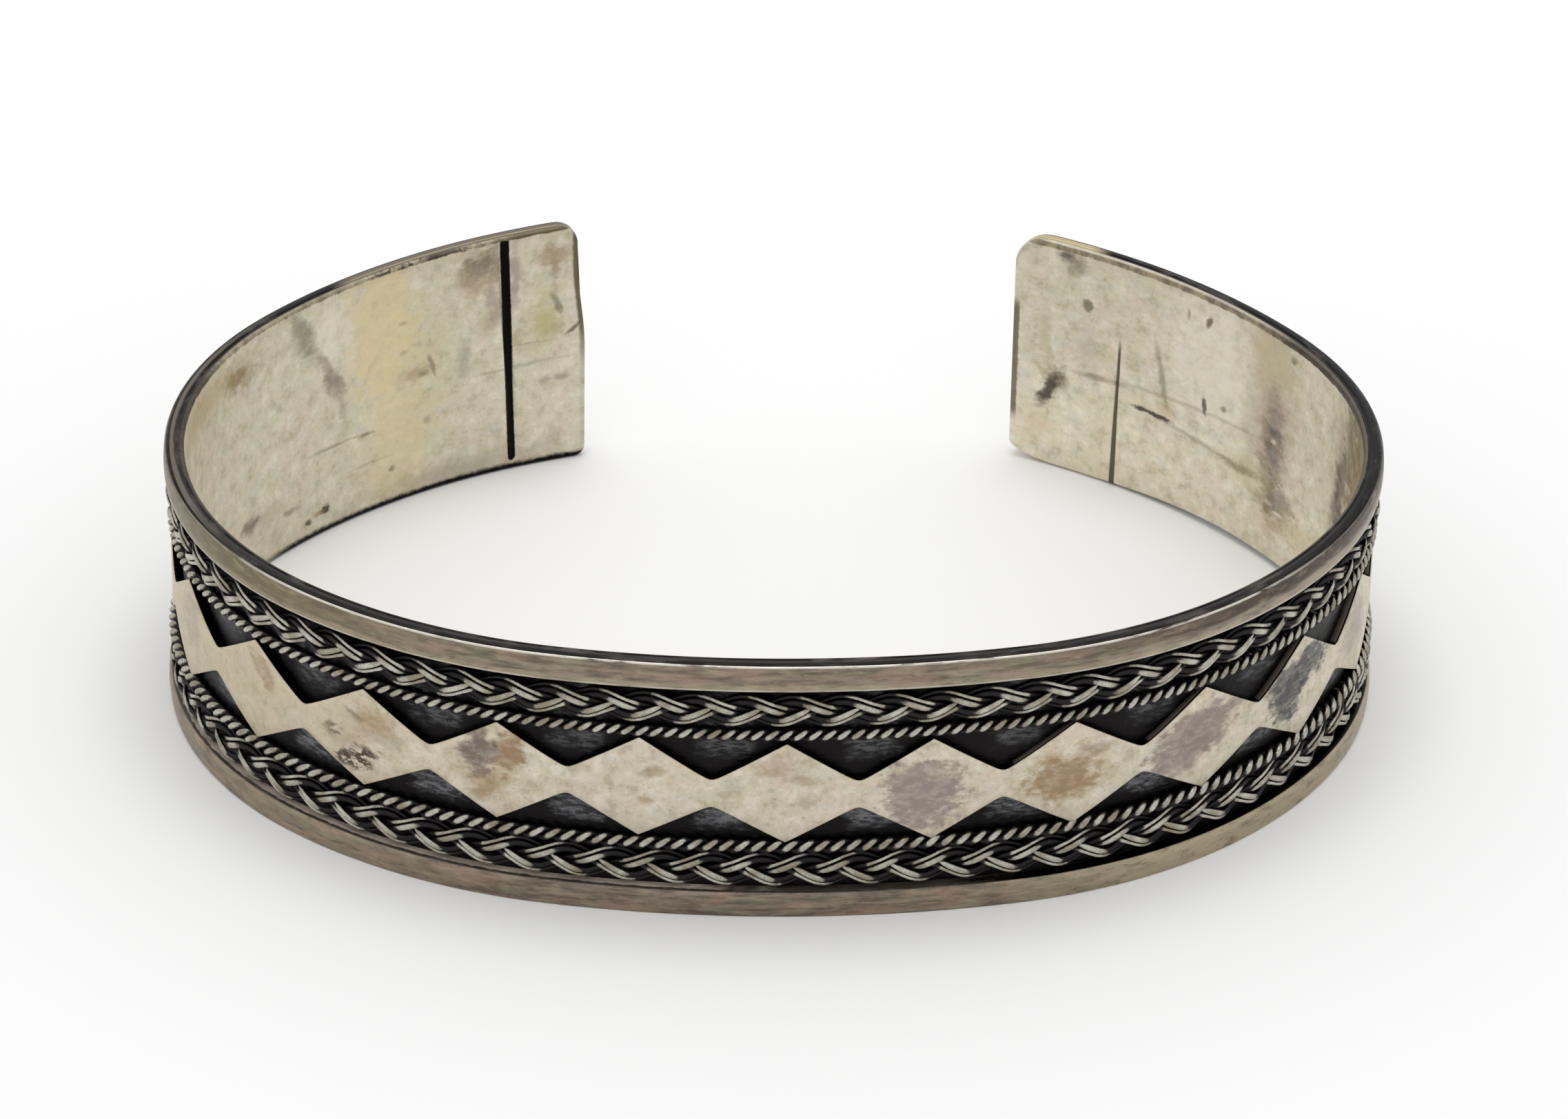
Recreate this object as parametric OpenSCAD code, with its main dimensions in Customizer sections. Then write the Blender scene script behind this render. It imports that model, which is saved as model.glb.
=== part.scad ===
// Open silver cuff bangle lying on its lower rim, its opening at the back.
// A sheet with a rail along each rim carries a strip of lozenges, two twisted
// ropes and two flat braids. The front of the cuff faces -Y.

/* [Band] */
// Height of the band, rim to rim
band_h = 14.7; // [14:0.1:16]
// Thickness of the whole wall at the rails
wall = 1.12; // [1.05:0.01:1.3]
// Depth of the dark ground below the face of the rails
ground_depth = 0.74; // [0.72:0.01:0.8]
// Height of each edge rail
rail_h = 1.36; // [1.1:0.02:1.4]
// Bevel along the inner edges of both rims
inner_bevel = 0.22; // [0.1:0.02:0.3]
// Bevel along the outer edges of both rails
outer_bevel = 0.1; // [0.05:0.01:0.2]

/* [Plan of the cuff] */
// Radius of the flat front
front_r = 56; // [50:1:60]
// Turn of the flat front to the right of its middle, in degrees
front_turn_right = 13.5; // [12:0.5:15]
// Turn of the flat front to the left of its middle, in degrees
front_turn_left = 11.5; // [10:0.5:13]
// Radius of the right shoulder
shoulder_r_right = 26.5; // [25:0.5:28]
// Turn of the right shoulder, in degrees
shoulder_turn_right = 46; // [44:1:48]
// Radius of the left shoulder
shoulder_r_left = 28; // [26:0.5:30]
// Turn of the left shoulder, in degrees
shoulder_turn_left = 31; // [29:1:33]
// Radius of the right side
side_r_right = 22.3; // [21:0.1:24]
// Turn of the right side, in degrees
side_turn_right = 62.5; // [60:0.5:65]
// Radius of the left side
side_r_left = 21.9; // [21:0.1:24]
// Turn of the left side, in degrees
side_turn_left = 84; // [82:0.5:86]
// Radius of both back arms
arm_r = 35.5; // [33:0.5:38]
// Turn of the right back arm to its tip, in degrees
arm_turn_right = 32; // [28:0.5:34]
// Turn of the left back arm to its tip, in degrees
arm_turn_left = 35; // [31:0.5:37]

/* [Tips] */
// Radius of the rounded corners of the right tip
tip_corner_right = 1.8; // [1:0.1:2.4]
// Radius of the rounded corners of the left tip
tip_corner_left = 1.4; // [1:0.1:2.4]
// Turn of the plain plate at each tip, in degrees of the back arm's arc
tip_plate_turn = 10; // [8:0.5:13]
// Fall of the upper rim of the right arm at the back of the cuff
arm_drop = 0.6; // [0:0.1:0.8]
// Rise of the lower rim of the right arm at the back of the cuff
arm_lift = 0.5; // [0:0.1:0.7]
// Distance of the scored line from the left tip, inside
score_left_in = 5; // [4:0.1:6]
// Distance of the scored line from the right tip, inside
score_right_in = 7; // [6:0.1:8]
// Height that the right scored line reaches up the wall
score_right_top = 9.8; // [8:0.1:12]
// Width of the scored lines
score_w = 0.3; // [0.2:0.05:0.4]
// Depth of the scored lines
score_d = 0.1; // [0.06:0.01:0.15]

/* [Lozenge strip] */
// Length of one lozenge along the band
lozenge_pitch = 7.62; // [7.4:0.02:7.8]
// Height of a lozenge, tip to tip
lozenge_h = 5.76; // [5.4:0.02:5.8]
// Height of the neck that joins two lozenges
neck_h = 1.63; // [1.2:0.01:2]
// Radius at the bottom of the notch between two lozenges
notch_r = 0.35; // [0.2:0.05:0.5]
// Height of the middle line of the strip
lozenge_z = 7.13; // [7.1:0.01:7.2]
// Depth of the strip's face below the face of the rails
lozenge_depth = 0.28; // [0.2:0.01:0.35]
// Place of the middle lozenge to the right of the front's middle
lozenge_shift = 0.95; // [0:0.05:1.5]
// Number of lozenges on each side of the middle one
lozenges_each_side = 9; // [8:1:9]

/* [Braids] */
// Width of a braid
braid_w = 1.86; // [1.8:0.01:1.88]
// Height of the middle line of the upper braid
upper_braid_z = 12.04; // [12.02:0.01:12.1]
// Height of the middle line of the lower braid
lower_braid_z = 2.58; // [2.5:0.01:2.6]
// Length along the band in which a strand comes back to its place
braid_pitch = 7.46; // [7.2:0.02:7.7]
// Width of a strand
strand_w = 0.62; // [0.5:0.01:0.62]
// Thickness of a strand
strand_t = 0.2; // [0.16:0.01:0.2]
// Swing of a strand out of and into the braid
strand_swing = 0.2; // [0.2:0.01:0.22]
// Place along the band where a strand of the upper braid crosses its middle line
upper_braid_shift = 0.9; // [0:0.05:2.4]
// Place along the band where a strand of the lower braid crosses its middle line
lower_braid_shift = 0.17; // [0:0.01:2.4]

/* [Ropes] */
// Diameter of each rope
rope_d = 0.62; // [0.5:0.01:0.64]
// Height of the upper rope's axis
upper_rope_z = 10.54; // [10.5:0.01:10.6]
// Height of the lower rope's axis
lower_rope_z = 3.86; // [3.85:0.01:3.88]

/* [Hidden] */
$fn = 96;

// Clearances and counts
seat_gap = 0.03;
end_gap = 0.15;
cut_over = 1;
round_steps = 6;
strand_rings_per_pitch = 9;
rope_rings = 76;
rope_sides = 8;
full_turn = 360;
strands = 3;

// Half of the flat on a strand's face, as a share of its half width
strand_flat = 0.4;

// Columns of an arc's row
RADIUS = 0;
TURN = 1;

// Arcs of the outer face of the rails, from the left tip round to the right tip
arcs = [[arm_r, arm_turn_left], [side_r_left, side_turn_left],
        [shoulder_r_left, shoulder_turn_left],
        [front_r, front_turn_left + front_turn_right],
        [shoulder_r_right, shoulder_turn_right],
        [side_r_right, side_turn_right], [arm_r, arm_turn_right]];
arc_count = len(arcs);
first_heading = -arm_turn_left - side_turn_left - shoulder_turn_left - front_turn_left;

// Heading, length and place at the start of each arc; heading 0 is along +X
function arc_length(row) = row[RADIUS] * row[TURN] * PI / 180;
function heading_at(i) = i == 0 ? first_heading : heading_at(i - 1) + arcs[i - 1][TURN];
function length_at(i) = i == 0 ? 0 : length_at(i - 1) + arc_length(arcs[i - 1]);
function step(r, h0, h1) = r * [sin(h1) - sin(h0), cos(h0) - cos(h1)];
function corner_at(i) =
    i == 0 ? [0, 0]
           : corner_at(i - 1) + step(arcs[i - 1][RADIUS], heading_at(i - 1), heading_at(i));
headings = [for (i = [0 : arc_count]) heading_at(i)];
lengths = [for (i = [0 : arc_count]) length_at(i)];
corners = [for (i = [0 : arc_count]) corner_at(i)];
run_length = lengths[arc_count];

// Point of the outer face where the run has a given heading
function at_heading(h) =
    let (i = max([for (k = [0 : arc_count - 1]) headings[k] <= h ? k : 0]))
    corners[i] + step(arcs[i][RADIUS], headings[i], h);

// The plan is centred on the origin between its outermost points
front_y = at_heading(0)[1];
back_y = max(corners[0][1], corners[arc_count][1]);
left_x = at_heading(-90)[0];
right_x = at_heading(90)[0];
half_width = (right_x - left_x) / 2;
half_depth = (back_y - front_y) / 2;
shift = -[(left_x + right_x) / 2, (front_y + back_y) / 2];

// Lengths along the run, counted from the middle of the front
front_arc = 3;
middle = lengths[front_arc] + arc_length([front_r, front_turn_left]);
left_end = -middle;
right_end = run_length - middle;

// Arc that holds a length, and the heading, place and outward direction there
function arc_of(s) = max([for (k = [0 : arc_count - 1]) lengths[k] - middle <= s ? k : 0]);
function turned(s, i) = (s + middle - lengths[i]) / arcs[i][RADIUS] * 180 / PI;
function heading_of(s) = let (i = arc_of(s)) headings[i] + turned(s, i);
function place_of(s) =
    let (i = arc_of(s)) shift + corners[i] + step(arcs[i][RADIUS], headings[i], heading_of(s));
function outward_of(s) = let (h = heading_of(s)) [sin(h), -cos(h)];

// Point at a length, a depth below the rails' face and a height
function on_band(s, depth, z) =
    let (p = place_of(s) - depth * outward_of(s)) [p[0], p[1], z];

// Radial levels, as depths below the rails' face
sheet_overlap = 0.1;
rope_depth = ground_depth - seat_gap - rope_d / 2;
braid_depth = ground_depth - seat_gap - strand_swing - strand_t / 2;

// Ends of the ornament along the run
tip_plate = arc_length([arm_r, tip_plate_turn]);
ornament_left = left_end + tip_plate;
ornament_right = right_end - tip_plate;
ornament_from = headings[0] + tip_plate_turn;
ornament_to = headings[arc_count] - tip_plate_turn;
wire_from = ornament_left + end_gap;
wire_to = ornament_right - end_gap;

// Slope of the right arm's rims starts a little in front of the cuff's middle
slope_from_y = -5;
slope_reach = half_depth - slope_from_y;
drop_angle = atan(arm_drop / slope_reach);
lift_angle = atan(arm_lift / slope_reach);

// Moves in two steps, so that no digits are lost and the arcs meet exactly
module move_to(p) {
    coarse = [for (v = p) round(v * 1000) / 1000];
    translate([coarse[0], coarse[1], 0])
        translate([p[0] - coarse[0], p[1] - coarse[1], 0]) children();
}

// Sweeps a section along the run between two headings. The section is drawn with
// x as its distance outside the rails' face and y as its height.
module sweep_run(from, to) {
    for (i = [0 : arc_count - 1]) {
        start = max(from, headings[i]);
        end = min(to, headings[i + 1]);
        if (end > start) {
            r = arcs[i][RADIUS];
            h = headings[i];
            move_to(shift + corners[i] + r * [-sin(h), cos(h)])
                rotate_extrude(start = start - 90, angle = end - start)
                    translate([r, 0]) children();
        }
    }
}

// Sheet with both rails, as one section
module rim_section() {
    polygon([
        [-wall + inner_bevel, 0],
        [-outer_bevel, 0],
        [0, outer_bevel],
        [0, rail_h - outer_bevel],
        [-outer_bevel, rail_h],
        [-ground_depth, rail_h],
        [-ground_depth, band_h - rail_h],
        [-outer_bevel, band_h - rail_h],
        [0, band_h - rail_h + outer_bevel],
        [0, band_h - outer_bevel],
        [-outer_bevel, band_h],
        [-wall + inner_bevel, band_h],
        [-wall, band_h - inner_bevel],
        [-wall, inner_bevel]]);
}

// Full wall of the plain plate at a tip
module plate_section() {
    polygon([
        [-wall + inner_bevel, 0],
        [-outer_bevel, 0],
        [0, outer_bevel],
        [0, band_h - outer_bevel],
        [-outer_bevel, band_h],
        [-wall + inner_bevel, band_h],
        [-wall, band_h - inner_bevel],
        [-wall, inner_bevel]]);
}

// Flat strip from which the lozenges are cut
module strip_section() {
    translate([-ground_depth - sheet_overlap, lozenge_z - lozenge_h / 2])
        square([ground_depth + sheet_overlap - lozenge_depth, lozenge_h]);
}

// Points of an arc in short flats
function arc_points(centre, r, from, to) =
    [for (k = [0 : round_steps]) let (a = from + (to - from) * k / round_steps)
        centre + r * [cos(a), sin(a)]];

// Notch between two lozenges, with its bottom at the origin and open upwards
module notch_outline() {
    rise = (lozenge_h - neck_h) / 2;
    lean = atan(rise / (lozenge_pitch / 2));
    top = rise + cut_over;
    top_x = notch_r * sin(lean) + (top - notch_r * (1 - cos(lean))) / tan(lean);
    polygon(concat([[top_x, top], [-top_x, top]],
                   arc_points([0, notch_r], notch_r, -90 - lean, -90 + lean)));
}

// Puts a flat outline upright on the band at length s, cut to both sides of the face
module upright_at(s, depth_out, depth_in) {
    translate(on_band(s, 0, 0))
        rotate([0, 0, heading_of(s)])
            rotate([90, 0, 0])
                translate([0, 0, -depth_in])
                    linear_extrude(depth_in + depth_out) children();
}

// The strip of lozenges, notched above and below every neck
module lozenge_strip() {
    difference() {
        sweep_run(ornament_from, ornament_to) strip_section();
        for (k = [-lozenges_each_side - 0.5 : lozenges_each_side + 0.5]) {
            upright_at(lozenge_shift + k * lozenge_pitch, cut_over, wall)
                translate([0, lozenge_z + neck_h / 2]) notch_outline();
            upright_at(lozenge_shift + k * lozenge_pitch, cut_over, wall)
                translate([0, lozenge_z - neck_h / 2]) mirror([0, 1]) notch_outline();
        }
    }
}

// What is cut away to round the two corners of a tip, whose end is at length s
module tip_corners(s, r, side) {
    for (top = [0, 1]) {
        upright_at(s, cut_over, wall + cut_over)
            translate([0, top * band_h])
                mirror([side < 0 ? 1 : 0, 0])
                    mirror([0, top])
                        polygon(concat([[cut_over, r], [cut_over, -cut_over], [-r, -cut_over]],
                                       arc_points([-r, r], r, -90, 0)));
    }
}

// Wedges that narrow the right arm towards its tip, above and below
module arm_wedges() {
    length = 2 * slope_reach;
    width = 2 * half_width;
    translate([0, slope_from_y, 0])
        rotate([lift_angle, 0, 0])
            translate([0, 0, -length]) cube([width, length, length]);
    translate([0, slope_from_y, band_h])
        rotate([-drop_angle, 0, 0])
            cube([width, length, length]);
}

// Shallow line scored across the inner wall
module scored_line(s, z0, z1) {
    upright_at(s, -(wall - score_d), wall + cut_over)
        translate([-score_w / 2, z0]) square([score_w, z1 - z0]);
}

module band() {
    color([0.78, 0.76, 0.72])
    difference() {
        union() {
            sweep_run(ornament_from, ornament_to) rim_section();
            sweep_run(headings[0], ornament_from) plate_section();
            sweep_run(ornament_to, headings[arc_count]) plate_section();
            lozenge_strip();
        }
        tip_corners(right_end, tip_corner_right, 1);
        tip_corners(left_end, tip_corner_left, -1);
        arm_wedges();
        scored_line(left_end + score_left_in, -cut_over, band_h + cut_over);
        scored_line(right_end - score_right_in, -cut_over, score_right_top);
    }
}

// Joins rings of points, each ring with the same number of sides, into one body
module skin(rings) {
    sides = len(rings[0]);
    last = len(rings) - 1;
    points = [for (ring = rings) each ring];
    walls = [for (i = [0 : last - 1], j = [0 : sides - 1])
        let (a = i * sides + j, b = i * sides + (j + 1) % sides)
        each [[a, b + sides, b], [a, a + sides, b + sides]]];
    first_cap = [for (j = [0 : sides - 1]) j];
    last_cap = [for (j = [sides - 1 : -1 : 0]) last * sides + j];
    polyhedron(points, concat(walls, [first_cap, last_cap]), convexity = 10);
}

// Two twisted wires, as the round tube that they fill
module rope(z) {
    skin([for (i = [0 : rope_rings])
        let (s = wire_from + (wire_to - wire_from) * i / rope_rings)
        [for (j = [0 : rope_sides - 1])
            let (a = -(j + 0.5) * full_turn / rope_sides)
            on_band(s, rope_depth - rope_d / 2 * cos(a), z + rope_d / 2 * sin(a))]]);
}

// One strand of a flat braid of three. It swings across the braid once a pitch
// and out and in twice, so that it goes over one strand and under the next.
// A strand crosses the middle line at crossing_at, and the braid's arrows point
// right where dir is 1 and left where dir is -1.
module braid_strand(which, z, crossing_at, dir) {
    swing_across = (braid_w - strand_w) / 2;
    strand_rings = round((wire_to - wire_from) / braid_pitch * strand_rings_per_pitch);
    half_t = strand_t / 2;
    outline = [[1, 0], [strand_flat, 1], [-strand_flat, 1],
               [-1, 0], [-strand_flat, -1], [strand_flat, -1]];
    skin([for (i = [0 : strand_rings])
        let (s = wire_from + (wire_to - wire_from) * i / strand_rings,
             a = dir * full_turn * (s - crossing_at) / braid_pitch + 90 + which * full_turn / strands,
             slope = swing_across * sin(a) * 2 * PI / braid_pitch,
             half_w = strand_w / 2 * sqrt(1 + slope * slope))
        [for (p = outline)
            on_band(s, braid_depth - strand_swing * sin(2 * a) - half_t * p[1],
                    z + swing_across * cos(a) + half_w * p[0])]]);
}

module upper_rope() {
    color([0.66, 0.65, 0.62]) rope(upper_rope_z);
}

module lower_rope() {
    color([0.66, 0.65, 0.62]) rope(lower_rope_z);
}

module upper_braid_strand(which) {
    color([0.7, 0.68, 0.62]) braid_strand(which, upper_braid_z, upper_braid_shift, 1);
}

module lower_braid_strand(which) {
    color([0.7, 0.68, 0.62]) braid_strand(which, lower_braid_z, lower_braid_shift, -1);
}

band();
upper_rope();
lower_rope();
upper_braid_strand(0);  // upper_braid_strand_1
upper_braid_strand(1);  // upper_braid_strand_2
upper_braid_strand(2);  // upper_braid_strand_3
lower_braid_strand(0);  // lower_braid_strand_1
lower_braid_strand(1);  // lower_braid_strand_2
lower_braid_strand(2);  // lower_braid_strand_3
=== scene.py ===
"""Open silver cuff bangle: its worn metal, twisted ropes, flat braids and strip of lozenges."""

import bisect
import math

import bmesh
import bpy
from mathutils import Matrix, Vector, noise


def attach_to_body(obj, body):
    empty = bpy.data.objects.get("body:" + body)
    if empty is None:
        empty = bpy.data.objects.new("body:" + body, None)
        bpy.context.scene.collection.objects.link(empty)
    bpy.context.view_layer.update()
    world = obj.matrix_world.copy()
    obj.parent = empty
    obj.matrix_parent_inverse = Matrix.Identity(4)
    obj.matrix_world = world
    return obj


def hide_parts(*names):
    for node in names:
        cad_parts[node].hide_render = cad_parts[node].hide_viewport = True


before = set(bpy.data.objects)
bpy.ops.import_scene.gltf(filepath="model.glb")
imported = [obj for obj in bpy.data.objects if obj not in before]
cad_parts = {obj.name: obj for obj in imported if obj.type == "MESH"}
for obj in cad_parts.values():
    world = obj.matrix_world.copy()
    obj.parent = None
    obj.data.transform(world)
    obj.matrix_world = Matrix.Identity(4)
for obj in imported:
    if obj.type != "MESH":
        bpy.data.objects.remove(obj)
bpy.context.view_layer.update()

MM = 0.001
WELD = 0.0005

# Band, in millimetres
BAND_HEIGHT = 14.7
WALL = 1.12
GROUND_DEPTH = 0.74
UPPER_RAIL_HEIGHT = 1.48
LOWER_RAIL_HEIGHT = 1.42
INNER_BEVEL = 0.24
FRONT_BEVEL = 0.1
SIDE_BEVEL = 0.34
SIDE_FROM, SIDE_TO = 24, 44
UPPER_RAIL_EDGE = (0.1, 0.1)
LOWER_RAIL_EDGE = (0.32, 0.18)
RAIL_CROWN = 0.03
TIP_PLATE_TURN = 10

# Rounded corners of the tips, as (width, height)
LEFT_TIP_TOP = (1.5, 1.0)
LEFT_TIP_FOOT = (0.6, 0.6)
RIGHT_TIP_TOP = (2.0, 1.8)
RIGHT_TIP_FOOT = (3.0, 1.0)
LEFT_TIP_SLANT = 0.45
SLANT_FROM_Z, SLANT_TO_Z = 7, 12.5
SLANT_REACH = 3
TIP_EDGE = 0.1

# Plan of the cuff: radius in millimetres and turn in degrees of each arc, left tip to right tip
RADIUS, TURN = 0, 1
ARCS = ((35.5, 35), (21.9, 84), (28, 31), (56, 25), (26.5, 46), (22.3, 62.5), (35.5, 32))
FRONT_ARC = 3
FRONT_TURN_LEFT = 11.5
PLAN_STEP = 0.5

# The right arm narrows towards its tip
ARM_DROP = 0.6
ARM_LIFT = 0.5
SLOPE_FROM_Y = -5

# Close to its tip the right arm's foot comes back down
FOOT_DOWN = 0.94
FOOT_FROM, FOOT_TO = 62, 74

# Scored lines on the inner face: (place at the foot, lean, half width, lowest, highest, depth)
GROOVES = ((-75.65, 0.032, 0.28, 0.55, 14.7, 0.12), (71.76, -0.016, 0.14, 0.2, 9.65, 0.05))
LEAN_NONE, LEAN_FULL = 1.2, 0.5

# The inner face is uneven: size and scale of its waves, and how far it lies in
WAVE_SIZE = 0.05
WAVE_SCALE = 0.12
WAVE_SEED = 3.0
WAVES_IN = 0.03

# Lozenge strip. The front is charted as (place, upper edge, lower edge)
LOZENGE_DEPTH = 0.28
LOZENGE_PITCH = 7.574
NECKS = (
    (-32.92, 7.98, 6.45),
    (-25.45, 7.94, 6.4),
    (-17.6, 8.08, 6.55),
    (-10.2, 8.13, 6.55),
    (-2.8, 7.92, 6.3),
    (4.68, 7.87, 6.26),
    (12.15, 7.9, 6.3),
    (19.9, 7.87, 6.28),
    (27.75, 7.78, 6.2),
    (35.3, 7.78, 6.24),
)
LOZENGES = (
    (-29.1, 10.2, 4.35),
    (-21.5, 10.2, 4.5),
    (-13.87, 10.2, 4.55),
    (-6.5, 10.2, 4.45),
    (0.98, 10.08, 4.27),
    (8.45, 10.1, 4.22),
    (15.95, 10.16, 4.2),
    (23.75, 10.16, 4.2),
    (31.5, 10.1, 4.2),
)
OTHER_NECK = (7.9, 6.3)
OTHER_LOZENGE = (10.05, 4.25)

# Braids, as (place, height, half reach, a crossing's place, way that they run), and their lengths
BRAIDS = (
    ("upper", 11.96, 0.64, 0.9, 1.0),
    ("lower", 2.64, 0.73, 0.17, -1.0),
)
BRAID_LENGTHS = {
    "Pitch": 7.46,
    "Swing": 0.2,
    "Depth": 0.385,
    "Spacing": 0.31,
    "Wire Width": 0.27,
    "Wire Thickness": 0.23,
}
STRANDS = 3
STATIONS_A_BRAID_PITCH = 32

# Ropes, as (place, height, wire radius, lay, a bead's place, degrees above level that the painted highlight
# on the worn crests faces)
ROPES = (
    ("upper", 10.53, 0.17, 1.456, 0.835, 25),
    ("lower", 3.99, 0.19, 1.62, 1.07, 38),
)
ROPE_FOOT = 0.8
STATIONS_A_ROPE_LAY = 16

# Wires of a rope or of a braid's strand
WIRES = 2
WIRE_SIDES = 12
END_GAP = 0.15

# Camera, in degrees and millimetres; clip in metres
CAMERA_TURN = 1.337
CAMERA_ELEVATION = 29.573
CAMERA_ROLL = -1.177
CAMERA_DISTANCE = 374.62
CAMERA_AIM = (0.575, -1.166, 7.35)
CAMERA_LENS = 161.62
CAMERA_CLIP = (0.01, 10)
SENSOR_WIDTH = 36

# Light, and the lamp's place and size in metres
WORLD_LIGHT = 0.82
LAMP_POWER = 0.95
LAMP_PLACE = (0.0, 0.05, 0.6)
LAMP_SIZE = (0.35, 0.3)


# Nodes


def operators(operation):
    """A Python operator of Link and its reflection; each adds its Math or Vector Math node."""

    def plain(link, other):
        return link.graph.maths(operation, link, other)

    def reflected(link, other):
        return link.graph.maths(operation, other, link)

    return plain, reflected


class Link:
    """A node's output that Python's operators work on."""

    __add__, __radd__ = operators("ADD")
    __sub__, __rsub__ = operators("SUBTRACT")
    __mul__, __rmul__ = operators("MULTIPLY")
    __truediv__, __rtruediv__ = operators("DIVIDE")

    def __init__(self, graph, plug):
        self.graph = graph
        self.plug = plug

    def beside(self, name):
        """Another output of the same node."""
        return Link(self.graph, self.graph.find(self.plug.node.outputs, name))

    def __neg__(self):
        return self * -1


class Graph:
    """Builds a node tree, for a material or for geometry."""

    def __init__(self, tree):
        self.tree = tree

    def find(self, plugs, name):
        """The socket with this identifier, or the one in use with this name."""
        for plug in plugs:
            if plug.identifier == name:
                return plug
        return next(plug for plug in plugs if plug.name == name and plug.enabled)

    def feed(self, plug, value):
        if isinstance(value, Link):
            self.tree.links.new(value.plug, plug)
        elif plug.type in ("VECTOR", "RGBA") and isinstance(value, (int, float)):
            plug.default_value = [value] * len(plug.default_value)
        else:
            plug.default_value = value

    def node(self, kind, settings=None, values=None, out=None):
        """Adds a node: its settings first, then the values or links of its sockets."""
        made = self.tree.nodes.new(kind)
        for name, value in (settings or {}).items():
            setattr(made, name, value)
        for name, value in (values or {}).items():
            self.feed(self.find(made.inputs, name), value)
        if out is None:
            return Link(self, next(plug for plug in made.outputs if plug.enabled))
        return Link(self, self.find(made.outputs, out))

    def maths(self, operation, *values):
        is_vector = any(isinstance(v, Link) and v.plug.type in ("VECTOR", "RGBA") for v in values)
        kind = "ShaderNodeVectorMath" if is_vector else "ShaderNodeMath"
        made = self.tree.nodes.new(kind)
        made.operation = operation
        for plug, value in zip(made.inputs, values):
            self.feed(plug, value)
        return Link(self, next(plug for plug in made.outputs if plug.enabled))

    def split(self, vector):
        x = self.node("ShaderNodeSeparateXYZ", None, {"Vector": vector}, "X")
        return x, x.beside("Y"), x.beside("Z")

    def join(self, x, y, z):
        return self.node("ShaderNodeCombineXYZ", None, {"X": x, "Y": y, "Z": z})

    def mix(self, factor, first, second):
        """Mixes two colours."""
        values = {"Factor_Float": factor, "A_Color": first, "B_Color": second}
        return self.node("ShaderNodeMix", {"data_type": "RGBA"}, values, "Result_Color")


def worked(operation):
    """A function of a link that adds its Math or Vector Math node."""

    def work(first, *others):
        return first.graph.maths(operation, first, *others)

    return work


sin = worked("SINE")
cos = worked("COSINE")
root = worked("SQRT")
unsigned = worked("ABSOLUTE")
most = worked("MAXIMUM")
least = worked("MINIMUM")
above = worked("GREATER_THAN")
dot = worked("DOT_PRODUCT")
cross = worked("CROSS_PRODUCT")


def ease(value, low, high, low_to=0, high_to=1):
    """Goes smoothly from one value to the other while value goes from low to high."""
    settings = {"interpolation_type": "SMOOTHSTEP"}
    values = {"Value": value, "From Min": low, "From Max": high, "To Min": low_to, "To Max": high_to}
    return value.graph.node("ShaderNodeMapRange", settings, values)


def band(value, low, high, soft):
    """1 between low and high, 0 outside."""
    return ease(value, low - soft, low + soft) * ease(value, high - soft, high + soft, 1, 0)


# Plan and geometry trees


def plan_points():
    """Points of the rails' outer face in plan, left tip to right tip, centred on the origin."""
    heading = -FRONT_TURN_LEFT - sum(arc[TURN] for arc in ARCS[:FRONT_ARC])
    place = Vector((0, 0))
    points = [place]
    for radius, turn in ARCS:
        start = place
        for k in range(1, round(turn / PLAN_STEP) + 1):
            now = math.radians(heading + k * PLAN_STEP)
            then = math.radians(heading)
            run = Vector((math.sin(now) - math.sin(then), math.cos(then) - math.cos(now)))
            points.append(start + radius * run)
        place = points[-1]
        heading += turn
    across = [p.x for p in points]
    along = [p.y for p in points]
    centre = Vector((min(across) + max(across), min(along) + max(points[0].y, points[-1].y))) / 2
    return [p - centre for p in points]


PLAN = plan_points()
MIDDLE = sum(math.radians(turn) * radius for radius, turn in ARCS[:FRONT_ARC])
MIDDLE += math.radians(FRONT_TURN_LEFT) * ARCS[FRONT_ARC][RADIUS]
RUN = sum(math.radians(turn) * radius for radius, turn in ARCS)
LEFT_END = -MIDDLE
RIGHT_END = RUN - MIDDLE
TIP_PLATE = math.radians(TIP_PLATE_TURN) * ARCS[0][RADIUS]
ORNAMENT_LEFT = LEFT_END + TIP_PLATE
ORNAMENT_RIGHT = RIGHT_END - TIP_PLATE
HALF_DEPTH = max(p.y for p in PLAN)
LENGTHS = [0.0]
for here, there in zip(PLAN, PLAN[1:]):
    LENGTHS.append(LENGTHS[-1] + (there - here).length)


def add_object(name, data):
    made = bpy.data.objects.new(name, data)
    bpy.context.scene.collection.objects.link(made)
    return made


def plan_curve():
    """The plan as a curve that the geometry trees follow."""
    curve = bpy.data.curves.new("plan", "CURVE")
    curve.dimensions = "3D"
    line = curve.splines.new("POLY")
    line.points.add(len(PLAN) - 1)
    for point, place in zip(line.points, PLAN):
        point.co = (place.x * MM, place.y * MM, 0, 1)
    return add_object("plan", curve)


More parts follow.
